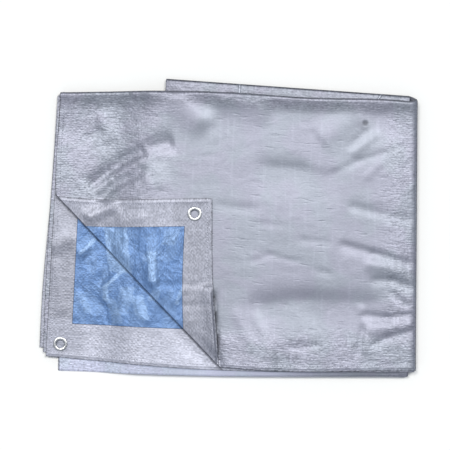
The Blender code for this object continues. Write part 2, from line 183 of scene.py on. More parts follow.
@dataclass(frozen=True)
class FoldMap:
    """Where flat cloth lies once it is folded.

    Across the cloth, a point has a fraction along its panel and two angles: how far it is turned under at
    the right-hand fold, and how far it is turned at the fold that halves the cloth. The same holds up the
    cloth. Tables are rows of (fraction along the edge, mm), and heights are in metres.
    """

    layer: float = 1.0 * MM
    gap: float = 0.4 * MM
    panel_width: float = 487.0
    panel_height: float = 366.0
    under_width: float = 343.0
    under_height: float = 372.0
    top_edge: Table = (
        (0.0, 180.4), (0.29, 181.8), (0.475, 179.8), (0.71, 172.4), (0.95, 169.4), (1.0, 167.5),
    )
    right_edge: Table = ((0.0, 245.1), (1.0, 247.6))
    back_right_edge: Table = ((0.0, 240.7), (0.3, 244.4), (0.6, 246.0), (1.0, 247.6))
    back_low_edge: Table = ((0.0, -193.3), (0.39, -199.2), (1.0, -200.8))
    under_top_edge: Table = ((0.0, 199.3), (1.0, 175.7))
    under_left_edge: Table = ((0.0, -111.5), (1.0, -84.1))
    under_low_edge: Table = ((0.0, -175.0), (1.0, -195.0))
    under_back_low_edge: Table = ((0.0, -183.5), (1.0, -202.2))
    left_edges: tuple[Table, ...] = (
        ((0.0, -241.4), (0.55, -233.8), (0.63, -235.4), (1.0, -229.0)),
        ((0.0, -249.6), (0.5, -240.0), (1.0, -230.5)),
        ((0.0, -253.6), (0.25, -250.5), (1.0, -232.2)),
        ((0.0, -258.4), (0.2, -255.2), (0.6, -243.0), (1.0, -233.9)),
    )
    low_edges: tuple[Table, ...] = (
        ((0.0, -169.5), (0.23, -175.5), (0.46, -188.4), (0.69, -195.4), (0.93, -193.9), (1.0, -194.2)),
        ((0.0, -175.4), (0.47, -193.4), (1.0, -196.5)),
        ((0.0, -170.0), (0.47, -189.0), (1.0, -195.0)),
        ((0.0, -163.2), (0.47, -185.0), (1.0, -193.0)),
    )
    back_left_feet: tuple[float, ...] = (-233.9, -233.2, -232.6, -232.0)
    step_clearance: float = 4.0
    step_run: float = 76.0
    turn_from: tuple[float, float] = (-230.2, 41.6)
    turn_to: tuple[float, float] = (-11.7, -187.1)
    roll: float = 0.9 * MM
    press: float = 0.6

    def stack(self, layers: int) -> float:
        """The height of so many layers."""
        return layers * self.layer + (layers - 1) * self.gap

    def shares(self, across: np.ndarray, up: np.ndarray) -> list[np.ndarray]:
        """How much of each of the four layers a point is, by its two halving folds."""
        a, u = across / math.pi, up / math.pi
        return [(1 - a) * (1 - u), a * (1 - u), a * u, (1 - a) * u]

    def place(self, across: np.ndarray, up: np.ndarray) -> tuple[np.ndarray, np.ndarray]:
        """The place of flat cloth on its panel, before the folds round off.

        Args:
            across: Rows of (fraction, under, halved) across the cloth.
            up: The same up the cloth.

        Returns:
            Places across and up, in metres.
        """
        p, under_x, halved_x = across.T
        q, under_y, halved_y = up.T
        turned, back = under_x / math.pi, under_y / math.pi
        shares = self.shares(halved_x, halved_y)
        layers = [layer.value for layer in Layer]

        front_left = sum(shares[k] * curve(self.left_edges[k], q) for k in layers)
        feet = [((0.0, self.back_left_feet[k]), (1.0, self.left_edges[k][-1][1])) for k in layers]
        back_left = sum(shares[k] * curve(feet[k], q) for k in layers)
        visible_left = front_left * (1 - back) + back_left * back
        left = visible_left * (1 - turned) + curve(self.under_left_edge, q) * turned
        right = curve(self.right_edge, q) * (1 - back) + curve(self.back_right_edge, q) * back

        front_low = sum(shares[k] * curve(self.low_edges[k], p) for k in layers)
        outer_low = front_low * (1 - back) + curve(self.back_low_edge, p) * back
        foot = self.low_edges[0][-1][1]
        shift = sum(shares[k] * (self.low_edges[k][-1][1] - foot) * MM for k in layers)
        under_low = (curve(self.under_low_edge, p) + shift) * (1 - back)
        under_low = under_low + curve(self.under_back_low_edge, p) * back
        low = outer_low * (1 - turned) + under_low * turned
        top = curve(self.top_edge, p) * (1 - turned) + curve(self.under_top_edge, p) * turned
        return left + (right - left) * p, low + (top - low) * q

    def step_down(self, x: np.ndarray, y: np.ndarray) -> np.ndarray:
        """Works out how far the cloth is below its full height, left of the part that is turned under.

        Args:
            x: Places across, in metres.
            y: Places up, in metres.

        Returns:
            The drop at each place, in metres.
        """
        (_, low_x), (_, high_x) = self.under_left_edge
        low_y, high_y = self.under_low_edge[0][1], self.under_top_edge[0][1]
        edge = low_x + (high_x - low_x) * (y / MM - low_y) / (high_y - low_y)
        return (self.stack(8) + self.gap) * eased((edge - self.step_clearance - x / MM) / self.step_run)

    def pressed(self, angle: np.ndarray) -> tuple[np.ndarray, np.ndarray]:
        """How far out and how high the cloth is round a fold that is pressed flatter than a half circle."""
        out, over = np.sin(angle), np.cos(angle)
        return np.abs(out) ** self.press, np.sign(over) * np.abs(over) ** self.press

    def fold(self, across: np.ndarray, up: np.ndarray, height: np.ndarray) -> np.ndarray:
        """Points of the folded cloth.

        Args:
            across: Rows of (fraction, under, halved) across the cloth.
            up: The same up the cloth.
            height: The height through the layer, 0 at its inner face, in metres.

        Returns:
            Rows of (x, y, z) in metres.
        """
        _, under_x, halved_x = across.T
        _, under_y, halved_y = up.T
        x, y = self.place(across, up)
        reach = height + self.gap / 2
        x = x - reach * np.sin(halved_x)
        reach = self.layer + self.gap + reach * np.cos(halved_x)
        y = y - reach * np.sin(halved_y)
        reach = self.stack(2) + self.gap + reach * np.cos(halved_y)
        out, over = self.pressed(under_y)
        y = y + reach * out
        reach = self.stack(4) + self.gap + reach * over
        out, over = self.pressed(under_x)
        x = x + reach * out
        z = self.stack(8) + self.gap / 2 + reach * over
        z = z - np.where(under_x < math.pi / 2, self.step_down(x, y), 0.0)
        return np.column_stack((x, y, z))

    def turn(self) -> tuple[np.ndarray, np.ndarray]:
        """Finds the line over which the front corner is turned back.

        Returns:
            The line's start in metres, and the way from it towards the corner.
        """
        start = np.array(self.turn_from) * MM
        along = np.array(self.turn_to) * MM - start
        along /= np.linalg.norm(along)
        return start, np.array((along[1], -along[0]))

    def past_turn(self, x: np.ndarray, y: np.ndarray) -> np.ndarray:
        """How far a place lies past the line of the turned-back corner, towards the corner."""
        start, normal = self.turn()
        return (x - start[0]) * normal[0] + (y - start[1]) * normal[1]


@dataclass(frozen=True)
class Hem:
    """One corner's hem: its widths on the cloth in mm, and how much the low one widens along its edge."""

    side: float
    low: float
    low_growth: float


@dataclass(frozen=True)
class EyeletSeat:
    """Where an eyelet sits: its layer, and its distances from the cloth's two free edges in mm."""

    name: str
    node: str
    layer: Layer
    inward: float
    upward: float


@dataclass
class Creasing:
    """The listed ridges and troughs of the layers that show. Places and sizes are in mm."""

    front: tuple[Crease, ...] = (
        # The swellings along the top fold and the right-hand fold.
        Crease(-245, 193, -110, 196, 22, 5.0, 24),
        Crease(-40, 190, 240, 177, 16, 4.0, 40),
        Crease(228, 100, 231, -40, 12, 1.6, 40, 46),
        # Two soft ridges below the top fold.
        Crease(-86, 186, -38, 150, 13, 2.7, 24, 22),
        Crease(-4, 172, 44, 162, 12, 2.0, 22, 18),
        # The two long creases at the upper left, in a few lengths each, and their ends.
        Crease(-184, 60, -156, 82, 10, -2.9, 12, 7),
        Crease(-148, 88, -118, 103, 11, -3.0, 8, 8),
        Crease(-109, 108.5, -82, 116, 13, -2.6, 12, 12),
        Crease(-174, 42, -158, 56, 8, -2.4, 10, 7),
        Crease(-151, 61, -136, 67, 8, -2.3, 8, 7),
        Crease(-130, 71, -118, 80, 8, -2.0, 8, 9),
        Crease(-110, 86, -88, 92, 9, -1.0, 14, 16),
        Crease(-114, 74, -106, 58, 5, 0.6),
        Crease(-97, 78, -95, 60, 5, 0.6),
        # The gap beside the turned-back corner.
        Crease(-20.5, -96, -14.8, -178, 3.6, -2.6, 14, 2),
        # The upper left corner.
        Crease(-190, 126, -178, 130, 7, -1.1),
        Crease(-226, 136, -186, 118, 16, -0.9),
        Crease(-184, 168, -188, 140, 9, -0.8),
        Crease(-172, 150, -160, 126, 10, 1.0),
        # The broad trough across the upper middle, and the creases to its right.
        Crease(56, 82, 90, 79, 12, -1.5, 30, 36),
        Crease(110, 74, 138, 68, 11, -0.95, 28, 36),
        Crease(146, 76, 176, 90, 5, -0.45),
        Crease(180, 92, 236, 110, 5, -0.5),
        Crease(168, 112, 186, 130, 5, -0.5),
        Crease(172, 104, 200, 126, 6, 0.7),
        Crease(190, 72, 204, 86, 5, 0.5),
        Crease(130, 124, 176, 152, 16, 1.2),
        Crease(171, 28, 243, 11, 7, -0.8),
        # Faint creases across the middle.
        Crease(-6, 30, 30, 26, 6, -0.4, 20),
        Crease(47, 5, 68, 4, 5, -0.3, 16),
        Crease(103, -17, 132, -20, 5, -0.35, 16),
        Crease(36, -44, 56, -37, 4, -0.28, 16),
        Crease(58, -37, 88, -44, 4, -0.3, 16),
        Crease(120, -58, 136, -62, 5, -0.35, 12),
        # The broad trough across the lower middle, and the swellings below and left of it.
        Crease(50, -105, 96, -100, 15, -2.2, 34, 32),
        Crease(124, -101, 184, -104, 15, -2.2, 34, 44),
        Crease(14, -122, 26, -152, 7, 0.9, 20),
        Crease(40, -126, 56, -172, 7, 0.9, 20),
        Crease(8, -200, 54, -198, 50, 2.6, 22),
        # The fan of creases at the lower right.
        Crease(160, -23, 196, -33, 4, -1.0, 14, 10),
        Crease(200, -34, 244, -47, 4, -1.3, 10, 10),
        Crease(194, -50, 236, -58, 8, 1.0),
        Crease(200, -70, 222, -70, 4, -1.0, 10, 8),
        Crease(225, -71, 249, -80, 4, -1.2, 8, 8),
        Crease(222, -88, 242, -105, 3.5, -1.0),
        Crease(186, -118, 214, -121, 4, -1.2, 8, 9),
        Crease(217, -121, 251, -117, 4, -1.3, 8, 9),
        Crease(181, -112, 186, -128, 4, 0.8),
        Crease(200, -138, 244, -130, 8, 1.0),
        Crease(198, -158, 214, -149, 4, -1.1, 8, 7),
        Crease(217, -148, 251, -139, 4, -1.2, 8, 7),
        Crease(182, -140, 178, -167, 4, -1.3),
        Crease(189, -140, 186, -164, 5, 1.0),
        # A short trough near the low edge.
        Crease(90, -162, 120, -160, 6, -0.8),
    )
    second: tuple[Crease, ...] = (
        Crease(-184, -16, -200, -33, 4, 1.6),
        Crease(-178, -24, -196, -44, 5, -0.8),
        Crease(-149, -60, -167, -80, 4, 1.7),
        Crease(-167, -82, -165, -101, 4, 1.4),
        Crease(-160, -58, -176, -76, 5, -0.8),
        Crease(-186, -88, -165, -111, 4, -1.0, 8, 8),
        Crease(-164, -113, -161, -127, 4, -1.0),
        Crease(-124, -92, -116, -122, 7, 1.6),
        Crease(-142, -100, -150, -122, 7, 1.1),
        Crease(-196, -108, -184, -122, 5, 0.9),
        Crease(-238, -24, -214, -12, 12, 1.7, 12, 12),
        Crease(-236, -50, -228, -110, 8, 0.8),
        Crease(-200, -184, -50, -196, 30, 1.8, 30),
    )
    turned: tuple[Crease, ...] = (
        Crease(-24, -84, -14, -166, 13, 3.4),
        Crease(-152, -64, -142, -64, 50, 2.8, 13, 8),
        Crease(-106, -74, -100, -74, 46, 2.2, 8, 8),
        Crease(-170, 4, -160, -26, 6, -0.6),
        Crease(-78, -6, -70, -26, 5, 0.9),
        Crease(-74, -100, -60, -84, 4, 1.1),
        Crease(-100, -80, -98, -98, 4, 0.9),
        Crease(-100, -77, -24, -77, 3.2, -0.5),
        Crease(-58, -105, -24, -105, 3.2, -0.4),
        Crease(-190, 14, -158, 30, 8, 2.3),
        Crease(-146, 10, -120, 14, 8, 0.9),
    )
    loose: float = 3.5 * MM
    least: float = 0.05 * MM
    second_loose: float = 1.0 * MM
    turned_loose: float = 0.6 * MM
    second_fade_from: float = 6.6
    second_fade: float = 22.0
    turned_fade: float = 12.0
    soft_wave: tuple[float, float] = (46.0, 31.0)
    soft_height: float = 0.12
    short_wave: tuple[float, float] = (22.0, 7.5)
    short_height: float = 0.06
    front_seed: int = 3
    second_seed: int = 11
    turned_seed: int = 23
    seat_lift: float = 1.2 * MM
    seat_flat: float = 16.0
    seat_run: float = 30.0

    def uneven(self, x: np.ndarray, y: np.ndarray, seed: int) -> np.ndarray:
        """The cloth's small unevenness, in metres: long soft waves and short ones along the weave."""
        soft = soft_noise(x, y, *self.soft_wave, seed) * self.soft_height
        return (soft + soft_noise(x, y, *self.short_wave, seed + 1) * self.short_height) * MM

    def front_rise(self, x: np.ndarray, y: np.ndarray) -> np.ndarray:
        """How far the front layer lies above the closed stack."""
        rise = self.loose + total_rise(self.front, x, y) + self.uneven(x, y, self.front_seed)
        return np.maximum(rise, self.least)


@dataclass
class TarpCloth:
    """The whole cloth as one thin folded sheet, with its hem, its turned-back corner and its eyelet holes.

    Sizes across and up the flat cloth are in mm from its free edges; heights are in metres.
    """

    fold: FoldMap
    creasing: Creasing
    seats: tuple[EyeletSeat, ...]
    inner_face: float = 0.25 * MM
    outer_face: float = 0.75 * MM
    cord_inset: float = 4.4
    cord_width: float = 1.7
    cord_bulge: float = 0.32 * MM
    edge_lines: tuple[float, ...] = (0.0, 1.3, 2.4, 3.4, 4.4, 5.4, 6.6, 8.0)
    line_gap: float = 0.5
    past_hole: float = 2.5
    hem_end: float = 39.0
    hole: float = 6.4
    hole_block: float = 9.0
    hole_step: float = 1.5
    across_step: float = 3.5
    up_step: float = 3.0
    second_step: float = 4.6
    second_shown: float = 245.0
    hidden_step: float = 24.0
    back_step: float = 40.0
    under_steps: int = 6
    fold_steps: int = 10
    halving_steps: int = 4
    roll_steps: int = 7
    sharp_angle: float = math.radians(50.0)
    offset: np.ndarray = field(default_factory=lambda: np.zeros(2))
    width: float = field(init=False)
    height: float = field(init=False)
    across: np.ndarray = field(init=False)
    up: np.ndarray = field(init=False)
    points_across: np.ndarray = field(init=False)
    points_up: np.ndarray = field(init=False)
    flat: np.ndarray = field(init=False)
    cells: list[list[int]] = field(init=False)

    def hem_lines(self, centres: Sequence[float]) -> list[float]:
        """Places the divisions of a hem: its edge and cord, and fine ones round each eyelet.

        Args:
            centres: The eyelets' distances from the free edge.

        Returns:
            The divisions' distances from the free edge.
        """
        first, last = min(centres) - self.hole_block, max(centres) + self.hole_block
        fine = np.arange(first, last + self.hole_step / 2, self.hole_step)
        edge = [f for f in self.edge_lines if f < first - self.line_gap]
        return edge + list(fine) + [last + self.past_hole, self.hem_end]

    def lines(self, centres: Sequence[float], length: float, step: float, shown: float) -> np.ndarray:
        """The divisions of a panel.

        Args:
            centres: The eyelets' distances from the free edge.
            length: The panel's length.
            step: The spacing of the divisions where the cloth shows.
            shown: How far it shows from its free edge.

        Returns:
            The divisions as fractions of the panel.
        """
        near = self.hem_lines(centres)
        middle, far = spaced(near[-1], shown, step), spaced(shown, length, self.hidden_step)
        return np.concatenate((near, middle[1:], far[1:])) / length

    def stations(self, first: np.ndarray, under: np.ndarray, last: np.ndarray) -> np.ndarray:
        """Places the divisions of the whole cloth, from one free edge to the other.

        Args:
            first: The first panel's divisions, as fractions from its free edge.
            under: Those of the part that is turned under, as fractions from the halving fold.
            last: The last panel's divisions, as fractions from its free edge.

        Returns:
            Rows of (fraction, angle turned under, angle halved).
        """
        folds = [math.pi * k / self.fold_steps for k in range(1, self.fold_steps)]
        halves = [math.pi * k / self.halving_steps for k in range(1, self.halving_steps)]
        rows = [(f, 0.0, 0.0) for f in first]
        rows += [(1.0, a, 0.0) for a in folds]
        rows += [(f, math.pi, 0.0) for f in reversed(under)]
        rows += [(0.0, math.pi, a) for a in halves]
        rows += [(f, math.pi, math.pi) for f in under]
        rows += [(1.0, a, math.pi) for a in reversed(folds)]
        rows += [(f, 0.0, math.pi) for f in reversed(last)]
        return np.array(rows)

    def flat_places(self, rows: np.ndarray, panel: float, under: float, fold_reach: float) -> np.ndarray:
        """Measures the flat cloth.

        Args:
            rows: The divisions from one free edge to the other.
            panel: A panel's length, in mm.
            under: The length of the part that is turned under, in mm.
            fold_reach: The radius of the fold between the two, in metres.

        Returns:
            How far each division lies from the first free edge, in metres.
        """
        steps = np.abs(np.diff(rows, axis=0))
        length = np.where(rows[1:, 1] < math.pi / 2, panel, under) * MM
        along = steps[:, 0] * length + steps[:, 1] * fold_reach + steps[:, 2] * self.fold.layer
        return np.concatenate(([0.0], np.cumsum(along)))

    def grid(self) -> None:
        """Lays out the flat cloth: its divisions, its points, its cells and the two eyelet holes."""
        fold = self.fold
        in_first = [s.inward for s in self.seats if s.layer is Layer.FRONT]
        in_last = [s.inward for s in self.seats if s.layer is Layer.SECOND]
        ups = [s.upward for s in self.seats]
        first = self.lines(in_first, fold.panel_width, self.across_step, fold.panel_width)
        last = self.lines(in_last, fold.panel_width, self.second_step, self.second_shown)
        rows = self.lines(ups, fold.panel_height, self.up_step, fold.panel_height)
        back = np.linspace(0.0, 1.0, int(fold.panel_height / self.back_step) + 1)
        under = np.linspace(0.0, 1.0, self.under_steps)
        self.across = self.stations(first, under, last)
        self.up = self.stations(rows, under, back)
        flat_x = self.flat_places(self.across, fold.panel_width, fold.under_width, fold.stack(6))
        flat_y = self.flat_places(self.up, fold.panel_height, fold.under_height, fold.stack(3))
        self.width, self.height = float(flat_x[-1]), float(flat_y[-1])

        wide, high = len(self.across), len(self.up)
        i, j = (index.ravel() for index in np.meshgrid(range(wide), range(high), indexing="ij"))
        self.points_across, self.points_up = self.across[i], self.up[j]
        self.flat = np.column_stack((flat_x[i], flat_y[j]))
        gone = np.zeros((wide - 1, high - 1), bool)
        rings: list[list[int]] = []
        for seat in self.seats:
            rings += self.cut_hole(seat, flat_x, flat_y, high, gone)
        a, b = np.nonzero(~gone)
        corner = a * high + b
        cells = np.column_stack((corner, corner + high, corner + high + 1, corner + 1))
        self.cells = [list(map(int, cell)) for cell in cells] + rings

    def cut_hole(
        self, seat: EyeletSeat, flat_x: np.ndarray, flat_y: np.ndarray, high: int, gone: np.ndarray
    ) -> list[list[int]]:
        """Leaves out a block of cells round an eyelet and fills it with a ring of cells round its hole.

        Args:
            seat: The eyelet's seat.
            flat_x: The flat places of the divisions across.
            flat_y: The flat places of the divisions up.
            high: The number of divisions up.
            gone: The cells left out, which this adds to.

        Returns:
            The ring's cells.
        """
        front = seat.layer is Layer.FRONT
        centre_x = seat.inward * MM if front else self.width - seat.inward * MM
        centre_y = seat.upward * MM
        centre = np.array((centre_x, centre_y))
        reach = self.hole_block * MM + 1e-6
        inside_x = np.flatnonzero(np.abs(flat_x - centre_x) <= reach)
        inside_y = np.flatnonzero(np.abs(flat_y - centre_y) <= reach)
        left, right, low, top = inside_x[0], inside_x[-1], inside_y[0], inside_y[-1]
        gone[left:right, low:top] = True
        loop = [(a, low) for a in range(left, right)] + [(right, b) for b in range(low, top)]
        loop += [(a, top) for a in range(right, left, -1)] + [(left, b) for b in range(top, low, -1)]

        rings = [[a * high + b for a, b in loop]]
        for share in (0.5, 1.0):
            start = len(self.flat)
            flat = []
            for a, b in loop:
                edge = np.array((flat_x[a], flat_y[b]))
                away = math.atan2(edge[1] - centre_y, edge[0] - centre_x)
                rim = centre + self.hole * MM * np.array((math.cos(away), math.sin(away)))
                flat.append(edge * (1.0 - share) + rim * share)
            flat = np.array(flat)
            inward = flat[:, 0] if front else self.width - flat[:, 0]
            zero = np.zeros(len(flat))
            across = np.column_stack((inward / MM / self.fold.panel_width, zero, zero + seat.layer.halved))
            up = np.column_stack((flat[:, 1] / MM / self.fold.panel_height, zero, zero))
            self.points_across = np.vstack((self.points_across, across))
            self.points_up = np.vstack((self.points_up, up))
            self.flat = np.vstack((self.flat, flat))
            rings.append(list(range(start, start + len(flat))))
        cells = []
        for outer, inner in zip(rings, rings[1:]):
            for k in range(len(loop)):
                after = (k + 1) % len(loop)
                cells.append([outer[k], outer[after], inner[after], inner[k]])
        return cells

    def bulge(self) -> np.ndarray:
        """Works out how much the cord in the hem swells each face.

        Returns:
            The swelling at each point, in metres.
        """
        x, y = self.flat.T
        edge = np.minimum(np.minimum(x, self.width - x), np.minimum(y, self.height - y)) / MM
        return self.cord_bulge * np.exp(-(((edge - self.cord_inset) / self.cord_width) ** 2))

    def second_rise(self, x: np.ndarray, y: np.ndarray) -> np.ndarray:
        """Works out how far the second layer lies above the closed stack, where it shows.

        Args:
            x: Places across, in metres.
            y: Places up, in metres.

        Returns:
            The height at each place, in metres.
        """
        made = self.creasing
        seat = next(s for s in self.seats if s.layer is Layer.SECOND)
        centre_x, centre_y = self.fold.place(*self.seat_rows(seat))
        away = np.hypot(x - centre_x, y - centre_y) / MM
        near = eased((made.seat_flat + made.seat_run - away) / made.seat_run)
        shown = eased((self.fold.past_turn(x, y) / MM - made.second_fade_from) / made.second_fade)
        rise = total_rise(made.second, x, y) + made.uneven(x, y, made.second_seed) + made.second_loose
        return shown * np.maximum(rise, 0.0) * (1.0 - near) + made.seat_lift * near

    def seat_rows(self, seat: EyeletSeat) -> tuple[np.ndarray, np.ndarray]:
        """An eyelet's centre across and up the cloth, each as one row of (fraction, under, halved)."""
        across = np.array([[seat.inward / self.fold.panel_width, 0.0, seat.layer.halved]])
        return across, np.array([[seat.upward / self.fold.panel_height, 0.0, 0.0]])

    def front_top(self, x: np.ndarray, y: np.ndarray) -> np.ndarray:
        """The height of the front layer's upper face."""
        return self.fold.stack(16) - self.fold.step_down(x, y) + self.creasing.front_rise(x, y)

    def turned_rise(self, x: np.ndarray, y: np.ndarray) -> np.ndarray:
        """Works out how far the turned-back corner stands off the front layer, past its roll.

        Args:
            x: Places across, in metres.
            y: Places up, in metres.

        Returns:
            The height at each place, in metres.
        """
        made = self.creasing
        free = eased(-self.fold.past_turn(x, y) / MM / made.turned_fade)
        rise = total_rise(made.turned, x, y) + made.uneven(x, y, made.turned_seed) + made.turned_loose
        return free * np.maximum(rise, 0.0)

    def turned_back(self, points: np.ndarray) -> np.ndarray:
        """Rolls what lies past the turn over onto the front layer.

        Args:
            points: Points of the front layer, as rows of (x, y, z) in metres.

        Returns:
            The same points, each in its place.
        """
        fold = self.fold
        _, normal = fold.turn()
        away = fold.past_turn(points[:, 0], points[:, 1])
        depth = self.front_top(points[:, 0], points[:, 1]) - points[:, 2]
        middle = fold.roll + fold.layer / 2
        angle = np.clip(away / middle, 0.0, math.pi)
        reach = (fold.roll + depth) * np.sin(angle) - np.maximum(away - math.pi * middle, 0.0)
        x, y = (points[:, :2] + (reach - away)[:, None] * normal).T
        z = self.front_top(x, y) + fold.roll - (fold.roll + depth) * np.cos(angle) + self.turned_rise(x, y)
        return np.where((away > 0.0)[:, None], np.column_stack((x, y, z)), points)

    def shown(self, layer: Layer) -> np.ndarray:
        """Which of the points lie on one of the two layers that show."""
        flat = (self.points_across[:, 1] == 0.0) & (self.points_up[:, 1:] == 0.0).all(axis=1)
        return flat & (self.points_across[:, 2] == layer.halved)

    def face_points(self, face: Face) -> np.ndarray:
        """Folds one face of the cloth and raises it where its layer shows. Its corner isn't turned back yet.

        Args:
            face: Which face.

        Returns:
            Its points, as rows of (x, y, z) in metres.
        """
        outer = face is Face.OUTER
        height = self.outer_face + self.bulge() if outer else self.inner_face - self.bulge()
        points = self.fold.fold(self.points_across, self.points_up, height)
        top = (self.points_across[:, 2] == 0.0) & (self.points_up[:, 2] == 0.0)
        round_right = 0.5 + 0.5 * np.cos(self.points_across[top, 1])
        round_top = 0.5 + 0.5 * np.cos(self.points_up[top, 1])
        x, y, _ = points[top].T
        points[top, 2] += self.creasing.front_rise(x, y) * round_right * round_top
        second = self.shown(Layer.SECOND)
        points[second, 2] += self.second_rise(points[second, 0], points[second, 1])
        points[:, 2] = np.maximum(points[:, 2], 0.0)
        return points

    def mesh(self) -> bmesh.types.BMesh:
        """Makes the closed thin sheet. Its UVs are the flat cloth, with the outer face in the left half.

        Returns:
            The mesh, in which the front layer's faces are marked.
        """
        bm = bmesh.new()
        uv = bm.loops.layers.uv.new("flat")
        front = bm.faces.layers.int.new("front")
        verts = {face: [bm.verts.new(p) for p in self.face_points(face)] for face in Face}
        on_front = self.shown(Layer.FRONT)
        layout = {
            Face.OUTER: self.flat / (2 * self.width, self.height),
            Face.INNER: self.flat / (2 * self.width, self.height) + (0.5, 0.0),
        }
        rims: set[tuple[int, int]] = set()
        for cell in self.cells:
            for face, order in ((Face.OUTER, cell), (Face.INNER, cell[::-1])):
                made = bm.faces.new([verts[face][k] for k in order])
                made.material_index = face.value
                made[front] = int(all(on_front[k] for k in cell))
                made.smooth = True
                for loop, k in zip(made.loops, order):
                    loop[uv].uv = layout[face][k]
            for a, b in zip(cell, cell[1:] + cell[:1]):
                rims.symmetric_difference_update([(b, a)] if (b, a) in rims else [(a, b)])
        inner, outer = verts[Face.INNER], verts[Face.OUTER]
        for a, b in sorted(rims):
            made = bm.faces.new((inner[a], inner[b], outer[b], outer[a]))
            made.material_index = Face.OUTER.value
            made[front] = int(on_front[a] and on_front[b])
            for loop, k in zip(made.loops, (a, b, b, a)):
                loop[uv].uv = layout[Face.OUTER][k]
        loose = [v for v in bm.verts if not v.link_faces]
        bmesh.ops.delete(bm, geom=loose, context="VERTS")
        return bm

    def turn_corner(self, bm: bmesh.types.BMesh) -> None:
        """Divides the front layer along the roll of its corner and turns the corner back.

        Args:
            bm: The sheet's mesh, which this changes.
        """
        tag = bm.faces.layers.int["front"]
        start, normal = self.fold.turn()
        roll = math.pi * (self.fold.roll + self.fold.layer / 2)
        for k in range(self.roll_steps + 1):
            place = start + normal * roll * k / self.roll_steps
            faces = [f for f in bm.faces if f[tag]]
            edges = list(dict.fromkeys(e for f in faces for e in f.edges))
            verts = list(dict.fromkeys(v for e in edges for v in e.verts))
            bmesh.ops.bisect_plane(
                bm, geom=faces + edges + verts, dist=1e-6, plane_co=(*place, 0.0), plane_no=(*normal, 0.0)
            )
        verts = list(dict.fromkeys(v for f in bm.faces if f[tag] for v in f.verts))
        for v, place in zip(verts, self.turned_back(np.array([v.co for v in verts]))):
            v.co = place

    def build(self) -> bpy.types.Object:
        """Makes the cloth a finished object on the CAD sheet's own place.

        Returns:
            The cloth.
        """
        self.grid()
        bm = self.mesh()
        self.turn_corner(bm)
        mesh = bpy.data.meshes.new("tarp_cloth")
        bm.to_mesh(mesh)
        bm.free()
        mesh.set_sharp_from_angle(angle=self.sharp_angle)
        low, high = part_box("tarp_sheet")
        points = np.array([v.co for v in mesh.vertices])
        middle = (points.min(axis=0) + points.max(axis=0)) / 2
        self.offset = np.array(((low + high) / 2)[:2]) - middle[:2]
        mesh.transform(Matrix.Translation((*self.offset, 0.0)))
        made = bpy.data.objects.new("tarp_cloth", mesh)
        bpy.context.scene.collection.objects.link(made)
        return made

    def turn_line(self) -> tuple[tuple[float, float], tuple[float, float]]:
        """A point on the turned-back corner's line, and the way towards the corner."""
        start, normal = self.fold.turn()
        return tuple(map(float, start)), tuple(map(float, normal))

    def eyelet_place(self, seat: EyeletSeat) -> Vector:
        """Finds where the middle of an eyelet lies on the finished cloth.

        Args:
            seat: The eyelet's seat.

        Returns:
            The place, in metres.
        """
        middle = np.array([(self.inner_face + self.outer_face) / 2])
        point = self.fold.fold(*self.seat_rows(seat), middle)
        if seat.layer is Layer.FRONT:
            point[:, 2] += self.creasing.front_rise(point[:, 0], point[:, 1])
            point = self.turned_back(point)
        else:
            point[:, 2] += self.second_rise(point[:, 0], point[:, 1])
        return Vector((*(point[0, :2] + self.offset), point[0, 2]))


Value = Union[float, Colour, "Term"]


class Term:
    """A shader node's output, on which arithmetic adds Math nodes."""

    def __init__(self, tree: "Surface", socket: bpy.types.NodeSocket) -> None:
        """Wraps one output of a node in a surface's tree."""
        self.tree = tree
        self.socket = socket

    def __add__(self, other: Value) -> "Term":
        """The sum."""
        return self.tree.math("ADD", self, other)

    def __sub__(self, other: Value) -> "Term":
        """The difference."""
        return self.tree.math("SUBTRACT", self, other)

    def __rsub__(self, other: Value) -> "Term":
        """The difference, from a number."""
        return self.tree.math("SUBTRACT", other, self)

    def __mul__(self, other: Value) -> "Term":
        """The product."""
        return self.tree.math("MULTIPLY", self, other)

    def __truediv__(self, other: Value) -> "Term":
        """The quotient."""
        return self.tree.math("DIVIDE", self, other)

    def __pow__(self, other: float) -> "Term":
        """The power."""
        return self.tree.math("POWER", self, other)

    def __abs__(self) -> "Term":
        """The size without its sign."""
        return self.tree.math("ABSOLUTE", self)

    __radd__ = __add__
    __rmul__ = __mul__


